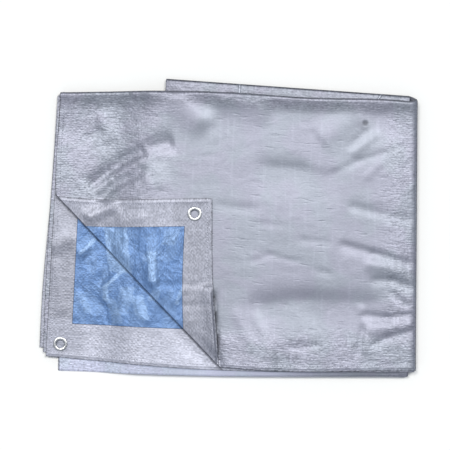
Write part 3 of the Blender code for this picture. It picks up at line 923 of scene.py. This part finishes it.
class Surface:
    """One material's node tree."""

    edge_out: float = 2.0 * MM
    edge_in: float = 1.0 * MM

    def __init__(self, name: str) -> None:
        """Makes a material with a Principled shader."""
        self.material = bpy.data.materials.new(name)
        self.material.use_nodes = True
        self.shader = self.material.node_tree.nodes["Principled BSDF"]

    def node(self, kind: str, settings: dict, inputs: dict, output: Union[int, str] = 0) -> Term:
        """Adds any node.

        Args:
            kind: The node's type.
            settings: Its own settings, such as an operation.
            inputs: Values or terms by the name or number of its input.
            output: The name or number of the output to use.

        Returns:
            That output.
        """
        tree = self.material.node_tree
        made = tree.nodes.new(kind)
        for key, value in settings.items():
            setattr(made, key, value)
        for key, value in inputs.items():
            if isinstance(value, Term):
                tree.links.new(value.socket, made.inputs[key])
            else:
                made.inputs[key].default_value = value
        return Term(self, made.outputs[output])

    def math(self, operation: str, *values: Value) -> Term:
        """Adds a Math node."""
        return self.node("ShaderNodeMath", {"operation": operation}, dict(enumerate(values)))

    def least(self, first: Value, second: Value) -> Term:
        """The smaller of two values."""
        return self.math("MINIMUM", first, second)

    def most(self, first: Value, second: Value) -> Term:
        """The larger of two values."""
        return self.math("MAXIMUM", first, second)

    def clamp(self, value: Term) -> Term:
        """A value held between 0 and 1."""
        return self.least(self.most(value, 0.0), 1.0)

    def smooth(self, value: Term, low: float, high: float) -> Term:
        """From 0 at the low value to 1 at the high one, with soft ends."""
        inputs = {"Value": value, "From Min": low, "From Max": high}
        return self.node("ShaderNodeMapRange", {"interpolation_type": "SMOOTHSTEP"}, inputs)

    def band(self, away: Term, half: float) -> Term:
        """1 within half a band's width of its middle and 0 outside it, with a soft edge."""
        return self.smooth(away, half + self.edge_out, half - self.edge_in)

    def mix(self, first: Value, second: Value, factor: Value, blend: str = "MIX") -> Term:
        """A colour between two, or two colours blended in another way.

        Args:
            first: The colour at a factor of 0.
            second: The colour at 1, or the one that is blended with it.
            factor: How much of the second.
            blend: The Mix node's way of blending.

        Returns:
            The colour.
        """
        one, other = ((*c, 1.0) if isinstance(c, tuple) else c for c in (first, second))
        settings = {"data_type": "RGBA", "blend_type": blend}
        return self.node("ShaderNodeMix", settings, {"Factor": factor, 6: one, 7: other}, 2)

    def tinted(self, colour: Value, factor: Term) -> Term:
        """A colour made lighter or darker by a factor that is 1 where it stays."""
        shade = self.node("ShaderNodeCombineColor", {}, {0: factor, 1: factor, 2: factor})
        return self.mix(colour, shade, 1.0, "MULTIPLY")

    def noise(self, place: Term, scale: float, detail: float = 2.0, distortion: float = 0.0) -> Term:
        """Cloudy noise from 0 to 1."""
        inputs = {"Vector": place, "Scale": scale, "Detail": detail, "Distortion": distortion}
        return self.node("ShaderNodeTexNoise", {"noise_dimensions": "3D"}, inputs)

    def vector(self, x: Value, y: Value, z: Value = 0.0) -> Term:
        """A place from its three parts."""
        return self.node("ShaderNodeCombineXYZ", {}, {0: x, 1: y, 2: z})

    def parts(self, place: Term) -> tuple[Term, Term]:
        """The first two parts of a place."""
        x, y = (self.node("ShaderNodeSeparateXYZ", {}, {0: place}, k) for k in (0, 1))
        return x, y

    def grain(
        self, u: Term, v: Term, run: float, rise: float, cut: float = 0.0, detail: float = 1.0
    ) -> Term:
        """Noise from 0 to 1 in flecks of about so many metres across and up, on one flat cut of it."""
        return self.noise(self.vector(u / run, v / rise, cut), 1.0, detail)

    def cells(self, u: Term, v: Term, run: float, rise: float) -> Term:
        """A random value from 0 to 1 for each cell of so many metres across and up."""
        cell = self.node("ShaderNodeVectorMath", {"operation": "FLOOR"}, {0: self.vector(u / run, v / rise)})
        return self.node("ShaderNodeTexWhiteNoise", {"noise_dimensions": "2D"}, {"Vector": cell})

    def bump(self, height: Term, distance: float, strength: float = 1.0) -> Term:
        """The normal that a height in units of a distance gives."""
        inputs = {"Height": height, "Distance": distance, "Strength": strength}
        return self.node("ShaderNodeBump", {}, inputs)

    def link(self, name: str, value: Term) -> None:
        """Feeds one of the shader's inputs."""
        self.material.node_tree.links.new(value.socket, self.shader.inputs[name])

    def constant(self, name: str, value: Union[float, tuple]) -> None:
        """Sets one of the shader's inputs."""
        self.shader.inputs[name].default_value = value


@dataclass(frozen=True)
class Weave:
    """Flat plastic tapes woven one over one and coated. Sizes in metres on the flat cloth, reliefs in mm."""

    pitch: float = 2.6 * MM
    stretch: tuple[float, float] = (2.6 * MM, 1.5 * MM)
    dash: tuple[float, float] = (9.5 * MM, 2.2 * MM)
    wrinkle: tuple[float, float] = (24.0 * MM, 4.2 * MM)
    streak: tuple[float, float] = (6.0 * MM, 60.0 * MM)
    tape_relief: float = 0.03
    dash_relief: float = 0.34
    post_relief: float = 0.2
    tape_tone: float = 0.05
    stretch_tone: float = 0.4
    dash_tone: float = 0.3
    post_tone: float = 0.3

    def tapes(self, tree: Surface, u: Term, v: Term) -> Term:
        """The tapes' crossings, between -1 where the cross tape lies over and 1 where the long one does."""
        waves = [tree.math("SINE", place * (math.pi / self.pitch)) for place in (u, v)]
        return waves[0] * waves[1]

    def stretches(self, tree: Surface, u: Term, v: Term) -> Term:
        """How light each short stretch of tape between two crossings is, from -0.5 to 0.5."""
        return tree.cells(u, v, *self.stretch) - 0.5

    def dashes(self, tree: Surface, u: Term, v: Term) -> tuple[Term, Term]:
        """Uneven tapes across and up the cloth, each between about -0.5 and 0.5."""
        run, rise = self.dash
        return tree.grain(u, v, run, rise) - 0.5, tree.grain(u, v, rise, run, 7.0) - 0.5

    def wrinkles(self, tree: Surface, u: Term, v: Term) -> tuple[Term, Term]:
        """Short fine wrinkles along the weave, and faint pressed streaks up it, each from 0 to 1."""
        short, long = tree.grain(u, v, *self.wrinkle, 3.0, 2.0), tree.grain(u, v, *self.streak, 5.0)
        return tree.smooth(short, 0.56, 0.76), tree.smooth(long, 0.55, 0.72)


@dataclass
class Ground:
    """What a face starts from: places on the flat cloth in metres, masks from 0 to 1, tone and relief."""

    tree: Surface
    u: Term
    v: Term
    side: Term
    cloud: Term
    posts: Term
    crinkle: Term
    worn: Term
    tone: Term
    relief: Term


@dataclass(frozen=True, kw_only=True)
class ClothFinish:
    """What both faces of the cloth share. Places and sizes in metres on the flat cloth, reliefs in mm."""

    name: str
    width: float
    height: float
    weave: Weave = Weave()
    layout_start: float = 0.0
    dash_share: float = 1.0
    panel: tuple[float, float] = (487.0 * MM, 371.0 * MM)
    right_fold: tuple[float, float] = (494.0 * MM, 506.0 * MM)
    top_fold: tuple[float, float] = (368.5 * MM, 376.0 * MM)
    # Painted shade on the outer curves of the right-hand and top folds.
    fold_shade_tone: float = 0.55
    seam_inset: float = 6.4 * MM
    seam_half: float = 0.9 * MM
    seam_pitch: float = 3.4 * MM
    seam_tone: float = 0.16
    seam_relief: float = 0.12
    # Painted shade along the cloth's cut edges, where its sides fall away from the light.
    rim: tuple[float, float] = (0.2 * MM, 1.4 * MM)
    rim_shade_tone: float = 0.6
    cloud_tone: float = 0.25
    quiet: float = 0.18
    edge_worn: tuple[float, float] = (190.0 * MM, 80.0 * MM)
    fold_worn: tuple[float, float] = (48.0 * MM, 20.0 * MM)
    fold_worn_share: float = 0.75
    low_edge_narrower: float = 2.8
    top_fold_narrower: float = 2.0
    roughness: float = 0.4
    roughness_play: float = 0.1

    def material(self) -> bpy.types.Material:
        """Makes the face's material from what both faces share and what the face adds.

        Returns:
            The material.
        """
        tree = Surface(self.name)
        ground = self.ground(tree)
        base = self.dress(ground)
        tree.link("Base Color", tree.tinted(base, ground.tone))
        tree.link("Roughness", self.roughness + ground.cloud * self.roughness_play)
        tree.link("Normal", tree.bump(ground.relief, MM))
        tree.constant("Specular IOR Level", 0.5)
        return tree.material

    def dress(self, ground: Ground) -> Term:
        """Adds what is the face's own to the tone and relief, and gives its colour."""
        raise NotImplementedError(self.name)

    def ground(self, tree: Surface) -> Ground:
        """Lays out the flat cloth with its weave, the seam of its hem, and painted shade along its rim and
        its folds.

        Args:
            tree: The face's node tree.

        Returns:
            What the face starts from.
        """
        weave = self.weave
        x, y = tree.parts(tree.node("ShaderNodeUVMap", {"uv_map": "flat"}, {}))
        u, v = (x - self.layout_start) * (2 * self.width), y * self.height
        side = tree.least(u, self.width - u)
        edge = tree.least(side, tree.least(v, self.height - v))
        flat = tree.vector(u, v)
        cloud = tree.noise(flat, 13.0, 3.0, 0.5)
        posts = tree.smooth(cloud, 0.40, 0.62)
        worn = self.worn(tree, u, v, side)
        tapes = weave.tapes(tree, u, v) * ((tree.smooth(cloud, 0.62, 0.38) * 0.8 + 0.2) * worn)
        across, up = (dash * self.dash_share for dash in weave.dashes(tree, u, v))
        line = 1.0 - tree.clamp(abs(edge - self.seam_inset) / self.seam_half)
        seam = line * tree.math("SINE", (u + v) * (2 * math.pi / self.seam_pitch))
        # Painted shade along the edges of the cloth.
        rim = 1.0 - tree.smooth(edge, *self.rim)

        tone = 1.0 + tapes * weave.tape_tone + (cloud - 0.5) * self.cloud_tone + seam * self.seam_tone
        # Painted shade darkens the cut edges and the outer curves of the folds.
        tone = tone - rim * self.rim_shade_tone - self.fold_shade(tree, u, v) * self.fold_shade_tone
        grain = weave.stretches(tree, u, v) * weave.stretch_tone
        tone = tone + (across * weave.dash_tone + up * posts * weave.post_tone + grain) * worn
        relief = tapes * weave.tape_relief + seam * self.seam_relief
        relief = relief + (across * weave.dash_relief + up * posts * weave.post_relief) * worn
        crinkle = tree.noise(flat, 46.0, 4.0, 0.6)
        return Ground(tree, u, v, side, cloud, posts, crinkle, worn, tone, relief)

    def worn(self, tree: Surface, u: Term, v: Term, side: Term) -> Term:
        """How rough the cloth is from handling.

        Args:
            tree: The face's node tree.
            u: Places across the flat cloth.
            v: Places up it.
            side: Places across from the nearer side.

        Returns:
            1 near the edges and beside the folds, and the quiet share elsewhere.
        """
        near_edge = tree.smooth(tree.least(side, v * self.low_edge_narrower), *self.edge_worn)
        from_top = abs(v - self.panel[1]) * self.top_fold_narrower
        near_fold = tree.smooth(tree.least(abs(u - self.panel[0]), from_top), *self.fold_worn)
        return self.quiet + tree.most(near_edge, near_fold * self.fold_worn_share) * (1.0 - self.quiet)

    def fold_shade(self, tree: Surface, u: Term, v: Term) -> Term:
        """Finds the outer curves of the right-hand and top folds, where shade is painted into the colour.

        Args:
            tree: The face's node tree.
            u: Places across the flat cloth.
            v: Places up it.

        Returns:
            1 on the curves and 0 elsewhere.
        """
        lines = []
        for place, (start, end) in ((u, self.right_fold), (v, self.top_fold)):
            lines.append(tree.band(abs(place - (start + end) / 2), (end - start) / 2))
        return tree.most(*lines)


@dataclass(frozen=True, kw_only=True)
class SilverFinish(ClothFinish):
    """The outer face: satin silver of two near hues, with fine crinkles, pressed creases, a stain, and
    painted light and shade on its strips.
    """

    name: str = "tarp_silver"
    cool: Colour = (0.264, 0.283, 0.338)
    lilac: Colour = (0.272, 0.279, 0.345)
    shine: Colour = (0.45, 0.45, 0.5)
    metallic: float = 0.6
    stain: tuple[float, float] = (424.8 * MM, 337.1 * MM)
    stain_edge: tuple[float, float] = (1.0 * MM, 6.2 * MM)
    stain_tone: float = 0.45
    stain_relief: float = 0.3
    halo_edge: tuple[float, float] = (3.0 * MM, 15.0 * MM)
    halo_tone: float = 0.12
    # Painted light on the strip of lower layers that shows below, which otherwise lies in shade.
    lit_low_strip: tuple[float, float] = (40.0 * MM, 20.0 * MM)
    lit_low_strip_sides: tuple[float, float] = (450.0 * MM, 200.0 * MM)
    lit_low_strip_tone: float = 1.55
    # Painted shade on the back strip that shows behind the top fold.
    back_strip: tuple[float, float] = (40.0 * MM, 25.0 * MM)
    back_strip_sides: tuple[float, float] = (500.0 * MM, 530.0 * MM)
    back_strip_shade_tone: float = 0.14
    # Painted shade on a band below the top fold, where the front layer tilts away from the light.
    top_shade_band: tuple[float, float] = (342.0 * MM, 362.0 * MM)
    top_shade_sides: tuple[float, float] = (520.0 * MM, 490.0 * MM)
    top_shade_tone: float = 0.12
    upright: float = 752.0 * MM
    slanted: float = 547.0 * MM
    pressed_edge: tuple[float, float] = (2.6 * MM, 0.6 * MM)
    pressed_tone: float = 0.3
    pressed_relief: float = 0.5
    streak_tone: float = 0.07
    wrinkle_tone: float = 0.08
    wrinkle_relief: float = 0.16
    crinkle_relief: float = 0.15
    worn_crinkle_relief: float = 0.95

    def dress(self, ground: Ground) -> Term:
        """Adds the stain, painted light on the strip below, painted shade on the strip behind and below the
        top fold, the pressed creases and the wrinkles.

        Args:
            ground: What both faces share, of which the tone and the relief are changed.

        Returns:
            The colour, before its tone.
        """
        tree, u, v, side = ground.tree, ground.u, ground.v, ground.side
        away = tree.math("SQRT", (u - self.stain[0]) ** 2.0 + (v - self.stain[1]) ** 2.0)
        stain = 1.0 - tree.smooth(away, *self.stain_edge)
        halo = 1.0 - tree.smooth(away, *self.halo_edge)
        from_low = abs(v - self.height / 2)
        # Painted light on the low strip.
        lit_low_strip = tree.smooth(from_low, *self.lit_low_strip) * tree.smooth(side, *self.lit_low_strip_sides)
        from_top = v - self.panel[1]
        behind = tree.smooth(abs(from_top), *self.back_strip) * tree.smooth(side, *self.back_strip_sides)
        # Painted shade on the band below the top fold.
        top_shade = tree.smooth(v, *self.top_shade_band) * tree.smooth(u, *self.top_shade_sides)
        upright = tree.smooth(abs(side - self.upright), *self.pressed_edge)
        slanted = tree.smooth(abs(side - self.slanted - from_top), *self.pressed_edge)
        pressed = tree.most(upright, slanted) * behind
        short, streaks = self.weave.wrinkles(tree, u, v)
        short = short * ground.posts

        # Painted light lifts the low strip; the stain and its halo are the cloth's own.
        shade = 1.0 - stain * self.stain_tone - halo * self.halo_tone + lit_low_strip * self.lit_low_strip_tone
        # Painted shade on the back strip and below the top fold.
        shade = shade - behind * self.back_strip_shade_tone - top_shade * self.top_shade_tone
        fine = pressed * self.pressed_tone + streaks * self.streak_tone - short * self.wrinkle_tone
        ground.tone = ground.tone * shade + fine
        crinkles = ground.crinkle * (self.crinkle_relief + ground.worn * self.worn_crinkle_relief)
        pressed_in = pressed * self.pressed_relief - short * self.wrinkle_relief
        ground.relief = ground.relief + crinkles - stain * self.stain_relief + pressed_in
        tree.constant("Metallic", self.metallic)
        tree.constant("Specular Tint", (*self.shine, 1.0))
        hue = tree.smooth(tree.noise(tree.vector(u, v), 21.0, 2.0, 0.3), 0.4, 0.6)
        return tree.mix(self.cool, self.lilac, hue)


@dataclass(frozen=True)
class LightAndShadePatch:
    """A patch of painted highlight on the inner face, or of painted shade where its tone is under 0. Places
    and sizes in mm.

    Its middle moves across by its lean for each millimetre up.
    """

    x: float
    y: float
    half_x: float
    half_y: float
    lean: float
    tone: float


@dataclass(frozen=True, kw_only=True)
class BlueFinish(ClothFinish):
    """The inner face: satin blue with listed patches of painted highlight and shade, and the silver hem
    round it.

    The patches and the line of the turned-back corner are placed on the folded tarp, as the creases are.
    """

    turn_at: tuple[float, float]
    turn_way: tuple[float, float]
    shift: tuple[float, float]
    name: str = "tarp_blue"
    layout_start: float = 0.5
    dash_share: float = 0.6
    front_hem: Hem = Hem(37.8, 37.0, 0.045)
    second_hem: Hem = Hem(33.4, 47.4, 0.028)
    hem: Colour = (0.298, 0.308, 0.374)
    blue: Colour = (0.105, 0.195, 0.40)
    # The blue that the painted highlights reach.
    highlight_blue: Colour = (0.255, 0.38, 0.60)
    shine: Colour = (0.9, 0.95, 1.0)
    hem_metallic: float = 0.5
    blue_metallic: float = 0.35
    # Painted highlight: the least everywhere, then on the facets and in the patches.
    least_highlight: float = 0.03
    facet_highlight: float = 0.16
    patch_highlight: float = 0.72
    patch_uneven: float = 9.0 * MM
    halves: tuple[float, float] = (0.51, 0.49)
    ridge_relief: float = 0.25
    blue_ridge_relief: float = 0.9
    crumple_relief: float = 2.6
    side_hem_shade_band: tuple[float, float] = (52.0 * MM, 44.0 * MM)
    low_hem_sheen_band: tuple[float, float] = (58.0 * MM, 50.0 * MM)
    # Painted sheen on the second layer's low hem, and painted shade on the front's low hem and the second's
    # side hems, as the weave catches the light by the way the hem runs.
    second_low_sheen: float = 0.17
    front_low_shade: float = -0.12
    second_side_shade: float = -0.12
    shade_from: tuple[float, float] = (0.3 * MM, 1.2 * MM)
    shade_to: tuple[float, float] = (5.0 * MM, 2.0 * MM)
    shade_tone: float = 0.5
    # Painted highlights where the crumpled film catches the light, and painted shade where it turns away.
    patches: tuple[LightAndShadePatch, ...] = (
        LightAndShadePatch(-151, -30, 15, 30, -0.1, 0.8),
        LightAndShadePatch(-103, -52, 5, 20, 0.0, 0.7),
        LightAndShadePatch(-110, -38, 4, 8, 0.5, 0.5),
        LightAndShadePatch(-78, -12, 9, 11, 0.3, 0.5),
        LightAndShadePatch(-100, -91, 6, 7, 0.4, 0.6),
        LightAndShadePatch(-66, -92, 2.5, 11, 0.5, 0.9),
        LightAndShadePatch(-192, -25, 3.5, 10, 1.0, 0.9),
        LightAndShadePatch(-156, -69, 3, 11, 1.08, 1.0),
        LightAndShadePatch(-168, -89, 3, 9, 0.0, 0.8),
        LightAndShadePatch(-120, -108, 8, 16, -0.35, 0.6),
        LightAndShadePatch(-142, -100, 9, 18, 0.3, 0.45),
        LightAndShadePatch(-156, -114, 7, 16, -0.3, 0.6),
        LightAndShadePatch(-198, -101, 5, 14, -0.5, 0.4),
        LightAndShadePatch(-179, -93, 2.5, 11, -1.0, -0.6),
        LightAndShadePatch(-165, -116, 2, 12, -0.28, -0.6),
        LightAndShadePatch(-174, -16, 6, 14, 0.0, -0.5),
        LightAndShadePatch(-119, -46, 8, 30, 0.0, -0.4),
        LightAndShadePatch(-78, -64, 15, 18, 0.0, -0.4),
    )

    def dress(self, ground: Ground) -> Term:
        """Adds the hem, the painted highlights on the facets and patches, the crumples and the painted shade
        under the corner's roll.

        Args:
            ground: What both faces share, of which the tone and the relief are changed.

        Returns:
            The colour, before its tone.
        """
        tree, u, v = ground.tree, ground.u, ground.v
        front = tree.smooth(u, *(self.width * half for half in self.halves))
        inside = self.inside(ground, front)
        along = tree.vector(u * (1.0 - front * 0.5), v * (0.5 + front * 0.5))
        # Painted highlights on the crumpled film's facets and patches lighten the blue.
        facets = tree.smooth(tree.noise(along, 38.0, 1.0, 0.8), 0.44, 0.56)
        light = facets * self.facet_highlight + self.painted_patches(tree) * self.patch_highlight + self.least_highlight
        ridges = abs(ground.crinkle * 2.0 - 1.0) * (self.ridge_relief + inside * self.blue_ridge_relief)
        crumple = tree.noise(along, 56.0, 1.0, 0.5) * inside * self.crumple_relief
        ground.relief = ground.relief - ridges + crumple
        # Painted sheen and painted shade on the hem.
        sides = tree.smooth(ground.side, *self.side_hem_shade_band) * (1.0 - front) * self.second_side_shade
        low_sheen_and_shade = self.second_low_sheen + front * (self.front_low_shade - self.second_low_sheen)
        hem_sheen_and_shade = tree.smooth(v, *self.low_hem_sheen_band) * low_sheen_and_shade + sides
        shade = 1.0 - self.shaded(tree) * self.shade_tone
        ground.tone = ground.tone * (1.0 + hem_sheen_and_shade * (1.0 - inside)) * shade
        tree.link("Metallic", self.hem_metallic - inside * (self.hem_metallic - self.blue_metallic))
        tree.constant("Specular Tint", (*self.shine, 1.0))
        return tree.mix(self.hem, tree.mix(self.blue, self.highlight_blue, light), inside)

    def inside(self, ground: Ground, front: Term) -> Term:
        """Finds the cloth inside the hem, whose widths differ at the front corner and the second layer's.

        Args:
            ground: What both faces share.
            front: 1 on the half of the cloth with the front corner, and 0 on the other.

        Returns:
            1 inside the hem and 0 on it.
        """
        tree, u, v = ground.tree, ground.u, ground.v
        from_side = self.width - u
        low_front = self.front_hem.low * MM + u * self.front_hem.low_growth
        low_second = self.second_hem.low * MM + from_side * self.second_hem.low_growth
        low = low_front * front + low_second * (1.0 - front)
        inner = tree.least(u - self.front_hem.side * MM, from_side - self.second_hem.side * MM)
        inner = tree.least(tree.least(inner, v - low), self.height - v - self.front_hem.side * MM)
        return tree.smooth(inner, -0.35 * MM, 0.35 * MM)

    def here(self, tree: Surface) -> tuple[Term, Term]:
        """Places across and up the folded tarp, in metres, as the creases count them."""
        x, y = tree.parts(tree.node("ShaderNodeTexCoord", {}, {}, "Object"))
        return x - self.shift[0], y - self.shift[1]

    def painted_patches(self, tree: Surface) -> Term:
        """Adds up the listed patches of painted highlight and shade, with uneven edges.

        Args:
            tree: The face's node tree.

        Returns:
            How much painted highlight they add to the blue, and painted shade where under 0.
        """
        x, y = self.here(tree)
        uneven = (tree.noise(tree.vector(x, y), 90.0, 2.0) - 0.5) * self.patch_uneven
        total: Value = 0.0
        for patch in self.patches:
            up = y - patch.y * MM
            across = abs(x - patch.x * MM - up * patch.lean) + uneven
            shape = tree.band(across, patch.half_x * MM) * tree.band(abs(up) + uneven, patch.half_y * MM)
            total = shape * patch.tone + total
        return total

    def shaded(self, tree: Surface) -> Term:
        """Finds the shade under the roll of the turned-back corner.

        Args:
            tree: The face's node tree.

        Returns:
            1 in the shade, and 0 on the roll and from a few millimetres past it.
        """
        x, y = self.here(tree)
        past = (x - self.turn_at[0]) * self.turn_way[0] + (y - self.turn_at[1]) * self.turn_way[1]
        return tree.smooth(past, *self.shade_to) * tree.smooth(past, *self.shade_from)


@dataclass(frozen=True)
class AluminiumFinish:
    """Bright pressed aluminium, faintly scuffed."""

    colour: Colour = (0.46, 0.47, 0.49)
    tone: tuple[float, float] = (0.9, 0.14)
    roughness: tuple[float, float] = (0.2, 0.16)

    def material(self) -> bpy.types.Material:
        """Makes the metal.

        Returns:
            The material.
        """
        tree = Surface("eyelet_aluminium")
        place = tree.node("ShaderNodeTexCoord", {}, {}, "Object")
        scuff = tree.noise(place, 900.0, 3.0)
        tree.link("Base Color", tree.tinted(self.colour, self.tone[0] + scuff * self.tone[1]))
        tree.link("Roughness", self.roughness[0] + scuff * self.roughness[1])
        tree.link("Normal", tree.bump(tree.noise(place, 420.0, 2.0), 0.05 * MM, 0.6))
        tree.constant("Metallic", 1.0)
        return tree.material


@dataclass
class Eyelet:
    """A pressed eyelet, in metres: a domed flange and barrel, and the washer that they are rolled over."""

    name: str
    centre: Vector
    outer: float = 9.8 * MM
    bore: float = 5.5 * MM
    barrel: float = 6.1 * MM
    half_cloth: float = 0.32 * MM
    dome: float = 1.25 * MM
    dome_lip: float = 0.25 * MM
    dome_steps: int = 12
    washer: float = 0.85 * MM
    sides: int = 96

    def profile(self) -> list[tuple[float, float]]:
        """The section, from the foot of the bore up over the dome and round under the washer.

        Returns:
            Rows of (radius, height), of which the last is the first again.
        """
        cloth, foot = self.half_cloth, -self.half_cloth - self.washer
        middle, half = (self.outer + self.bore) / 2, (self.outer - self.bore) / 2
        rows = []
        for k in range(self.dome_steps + 1):
            angle = math.pi - math.pi * k / self.dome_steps
            crown = (self.dome - 2 * self.dome_lip) * math.sin(angle) ** 0.8
            rows.append((middle + half * math.cos(angle), cloth + self.dome_lip + crown))
        rows += [(self.outer - 0.1 * MM, cloth), (self.barrel, cloth)]
        rows += [(self.barrel, -cloth), (self.outer - 0.9 * MM, -cloth)]
        rows += [(self.outer - 0.7 * MM, foot * 0.7), (self.outer - 1.3 * MM, foot)]
        rows += [(self.barrel + 1.6 * MM, foot), (self.barrel + 1.2 * MM, foot - 0.15 * MM)]
        rows += [(self.barrel + 0.4 * MM, foot - 0.2 * MM), (self.bore, foot + 0.15 * MM)]
        return rows + [rows[0]]

    def build(self, finish: AluminiumFinish) -> bpy.types.Object:
        """Turns the profile by drawing one circle out from row to row, and dresses it.

        Args:
            finish: The metal.

        Returns:
            The eyelet, in its place.
        """
        rows = self.profile()
        radius, height = rows[0]
        start = self.centre + Vector((0, 0, height))
        bpy.ops.object.select_all(action="DESELECT")
        bpy.ops.mesh.primitive_circle_add(vertices=self.sides, radius=radius, location=start)
        made = bpy.context.object
        made.name = self.name
        bpy.ops.object.mode_set(mode="EDIT")
        bpy.ops.mesh.select_all(action="SELECT")
        for (r, z), (next_r, next_z) in zip(rows, rows[1:]):
            grow = next_r / r
            middle = self.centre + Vector((0, 0, next_z))
            bpy.ops.mesh.extrude_edges_move(TRANSFORM_OT_translate={"value": (0.0, 0.0, next_z - z)})
            bpy.ops.transform.resize(value=(grow, grow, 1.0), center_override=middle)
        bpy.ops.mesh.select_all(action="SELECT")
        bpy.ops.mesh.remove_doubles(threshold=0.005 * MM)
        bpy.ops.mesh.normals_make_consistent(inside=False)
        bpy.ops.object.mode_set(mode="OBJECT")
        bpy.ops.object.transform_apply(location=True, rotation=True, scale=True)
        bpy.ops.object.shade_smooth_by_angle(angle=math.radians(40.0))
        made.data.materials.append(finish.material())
        return made


@dataclass(frozen=True)
class Lamp:
    """An even light from one side. Its spread, in degrees, is how soft its shadows are."""

    name: str
    place: tuple[float, float, float]
    spread: float
    power: float
    tint: Colour

    def build(self) -> None:
        """Adds the light, turned to the tarp."""
        light = bpy.data.lights.new(self.name, "SUN")
        light.angle = math.radians(self.spread)
        light.energy = self.power
        light.color = self.tint
        made = bpy.data.objects.new(self.name, light)
        made.location = self.place
        made.rotation_euler = (-Vector(self.place)).to_track_quat("-Z", "Y").to_euler()
        bpy.context.scene.collection.objects.link(made)


@dataclass(frozen=True)
class Studio:
    """The floor, the soft lights and the camera straight above. Sizes are in metres."""

    photo_side: float = 0.612
    camera_height: float = 2.2
    aim: tuple[float, float] = (-4.4 * MM, 4.1 * MM)
    top: float = 23.0 * MM
    sensor: float = 36.0
    floor_side: float = 12.0
    floor_tint: Colour = (0.93, 0.93, 0.93)
    sky: Colour = (0.8, 0.88, 1.0)
    sky_power: float = 0.42
    lamps: tuple[Lamp, ...] = (
        Lamp("key_right", (0.26, 0.26, 1.0), 14.0, 1.25, (1.0, 0.98, 0.92)),
        Lamp("key_left", (-0.24, 0.26, 1.0), 14.0, 1.2, (1.0, 0.98, 0.92)),
        Lamp("fill_light", (-0.3, -0.6, 1.0), 40.0, 0.12, (0.95, 0.97, 1.0)),
    )

    def floor(self) -> None:
        """Lays a wide pale floor."""
        bpy.ops.object.select_all(action="DESELECT")
        bpy.ops.mesh.primitive_plane_add(size=self.floor_side, location=(0.0, 0.0, 0.0))
        made = bpy.context.object
        made.name = "floor"
        tree = Surface("floor_paper")
        tree.constant("Base Color", (*self.floor_tint, 1.0))
        tree.constant("Roughness", 0.9)
        tree.constant("Specular IOR Level", 0.1)
        made.data.materials.append(tree.material)

    def world(self) -> None:
        """Lights everything a little from all round."""
        world = bpy.data.worlds.new("studio")
        bpy.context.scene.world = world
        world.use_nodes = True
        world.node_tree.nodes["Background"].inputs["Color"].default_value = (*self.sky, 1.0)
        world.node_tree.nodes["Background"].inputs["Strength"].default_value = self.sky_power

    def camera(self) -> None:
        """Hangs the camera over the tarp, so that the picture is as wide as the photo at the tarp's top."""
        camera = bpy.data.cameras.new("camera")
        camera.sensor_width = self.sensor
        camera.lens = self.sensor * (self.camera_height - self.top) / self.photo_side
        made = bpy.data.objects.new("camera", camera)
        made.location = (*self.aim, self.camera_height)
        bpy.context.scene.collection.objects.link(made)
        bpy.context.scene.camera = made

    def build(self) -> None:
        """Sets up the floor, the lights and the camera."""
        self.floor()
        for lamp in self.lamps:
            lamp.build()
        self.world()
        self.camera()
        bpy.context.scene.view_settings.view_transform = "Standard"


def build_tarp(seats: tuple[EyeletSeat, ...]) -> tuple[TarpCloth, bpy.types.Object]:
    """Builds and dresses the cloth, hangs it under the root body, hides the CAD parts in its place and logs
    its size.

    Args:
        seats: Where the eyelets sit.

    Returns:
        The cloth's sizes and places, and its object.
    """
    cloth = TarpCloth(FoldMap(), Creasing(), seats)
    tarp = cloth.build()
    turn_at, turn_way = cloth.turn_line()
    shift = (float(cloth.offset[0]), float(cloth.offset[1]))
    sizes = {"width": cloth.width, "height": cloth.height}
    silver = SilverFinish(**sizes)
    blue = BlueFinish(**sizes, turn_at=turn_at, turn_way=turn_way, shift=shift)
    for finish in (silver, blue):
        tarp.data.materials.append(finish.material())
    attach(tarp, "root")
    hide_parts("tarp_sheet", "hem_strip_turned", "hem_strip_lower")
    LOG.info("%s: %d faces, flat %.3f by %.3f m", tarp.name, len(tarp.data.polygons), *sizes.values())
    return cloth, tarp


def build_eyelet(seat: EyeletSeat, cloth: TarpCloth) -> bpy.types.Object:
    """Builds one eyelet in its seat, hangs it under the root body, hides the CAD part in its place and logs
    its faces.

    Args:
        seat: Where it sits.
        cloth: The folded cloth.

    Returns:
        The eyelet.
    """
    ring = Eyelet(seat.name, cloth.eyelet_place(seat)).build(AluminiumFinish())
    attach(ring, "root")
    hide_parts(seat.node)
    LOG.info("%s: %d faces", ring.name, len(ring.data.polygons))
    return ring


def main() -> None:
    """Builds the tarp, its eyelets and the studio."""
    logging.basicConfig(level=logging.INFO, format="%(name)s: %(message)s")
    seats = (
        EyeletSeat("eyelet_ring_turned", "eyelet_turned", Layer.FRONT, 21.0, 24.6),
        EyeletSeat("eyelet_ring_lower", "eyelet_lower", Layer.SECOND, 18.6, 18.6),
    )
    cloth, tarp = build_tarp(seats)
    rings = [build_eyelet(seat, cloth) for seat in seats]
    Studio().build()


if __name__ == "__main__":
    main()
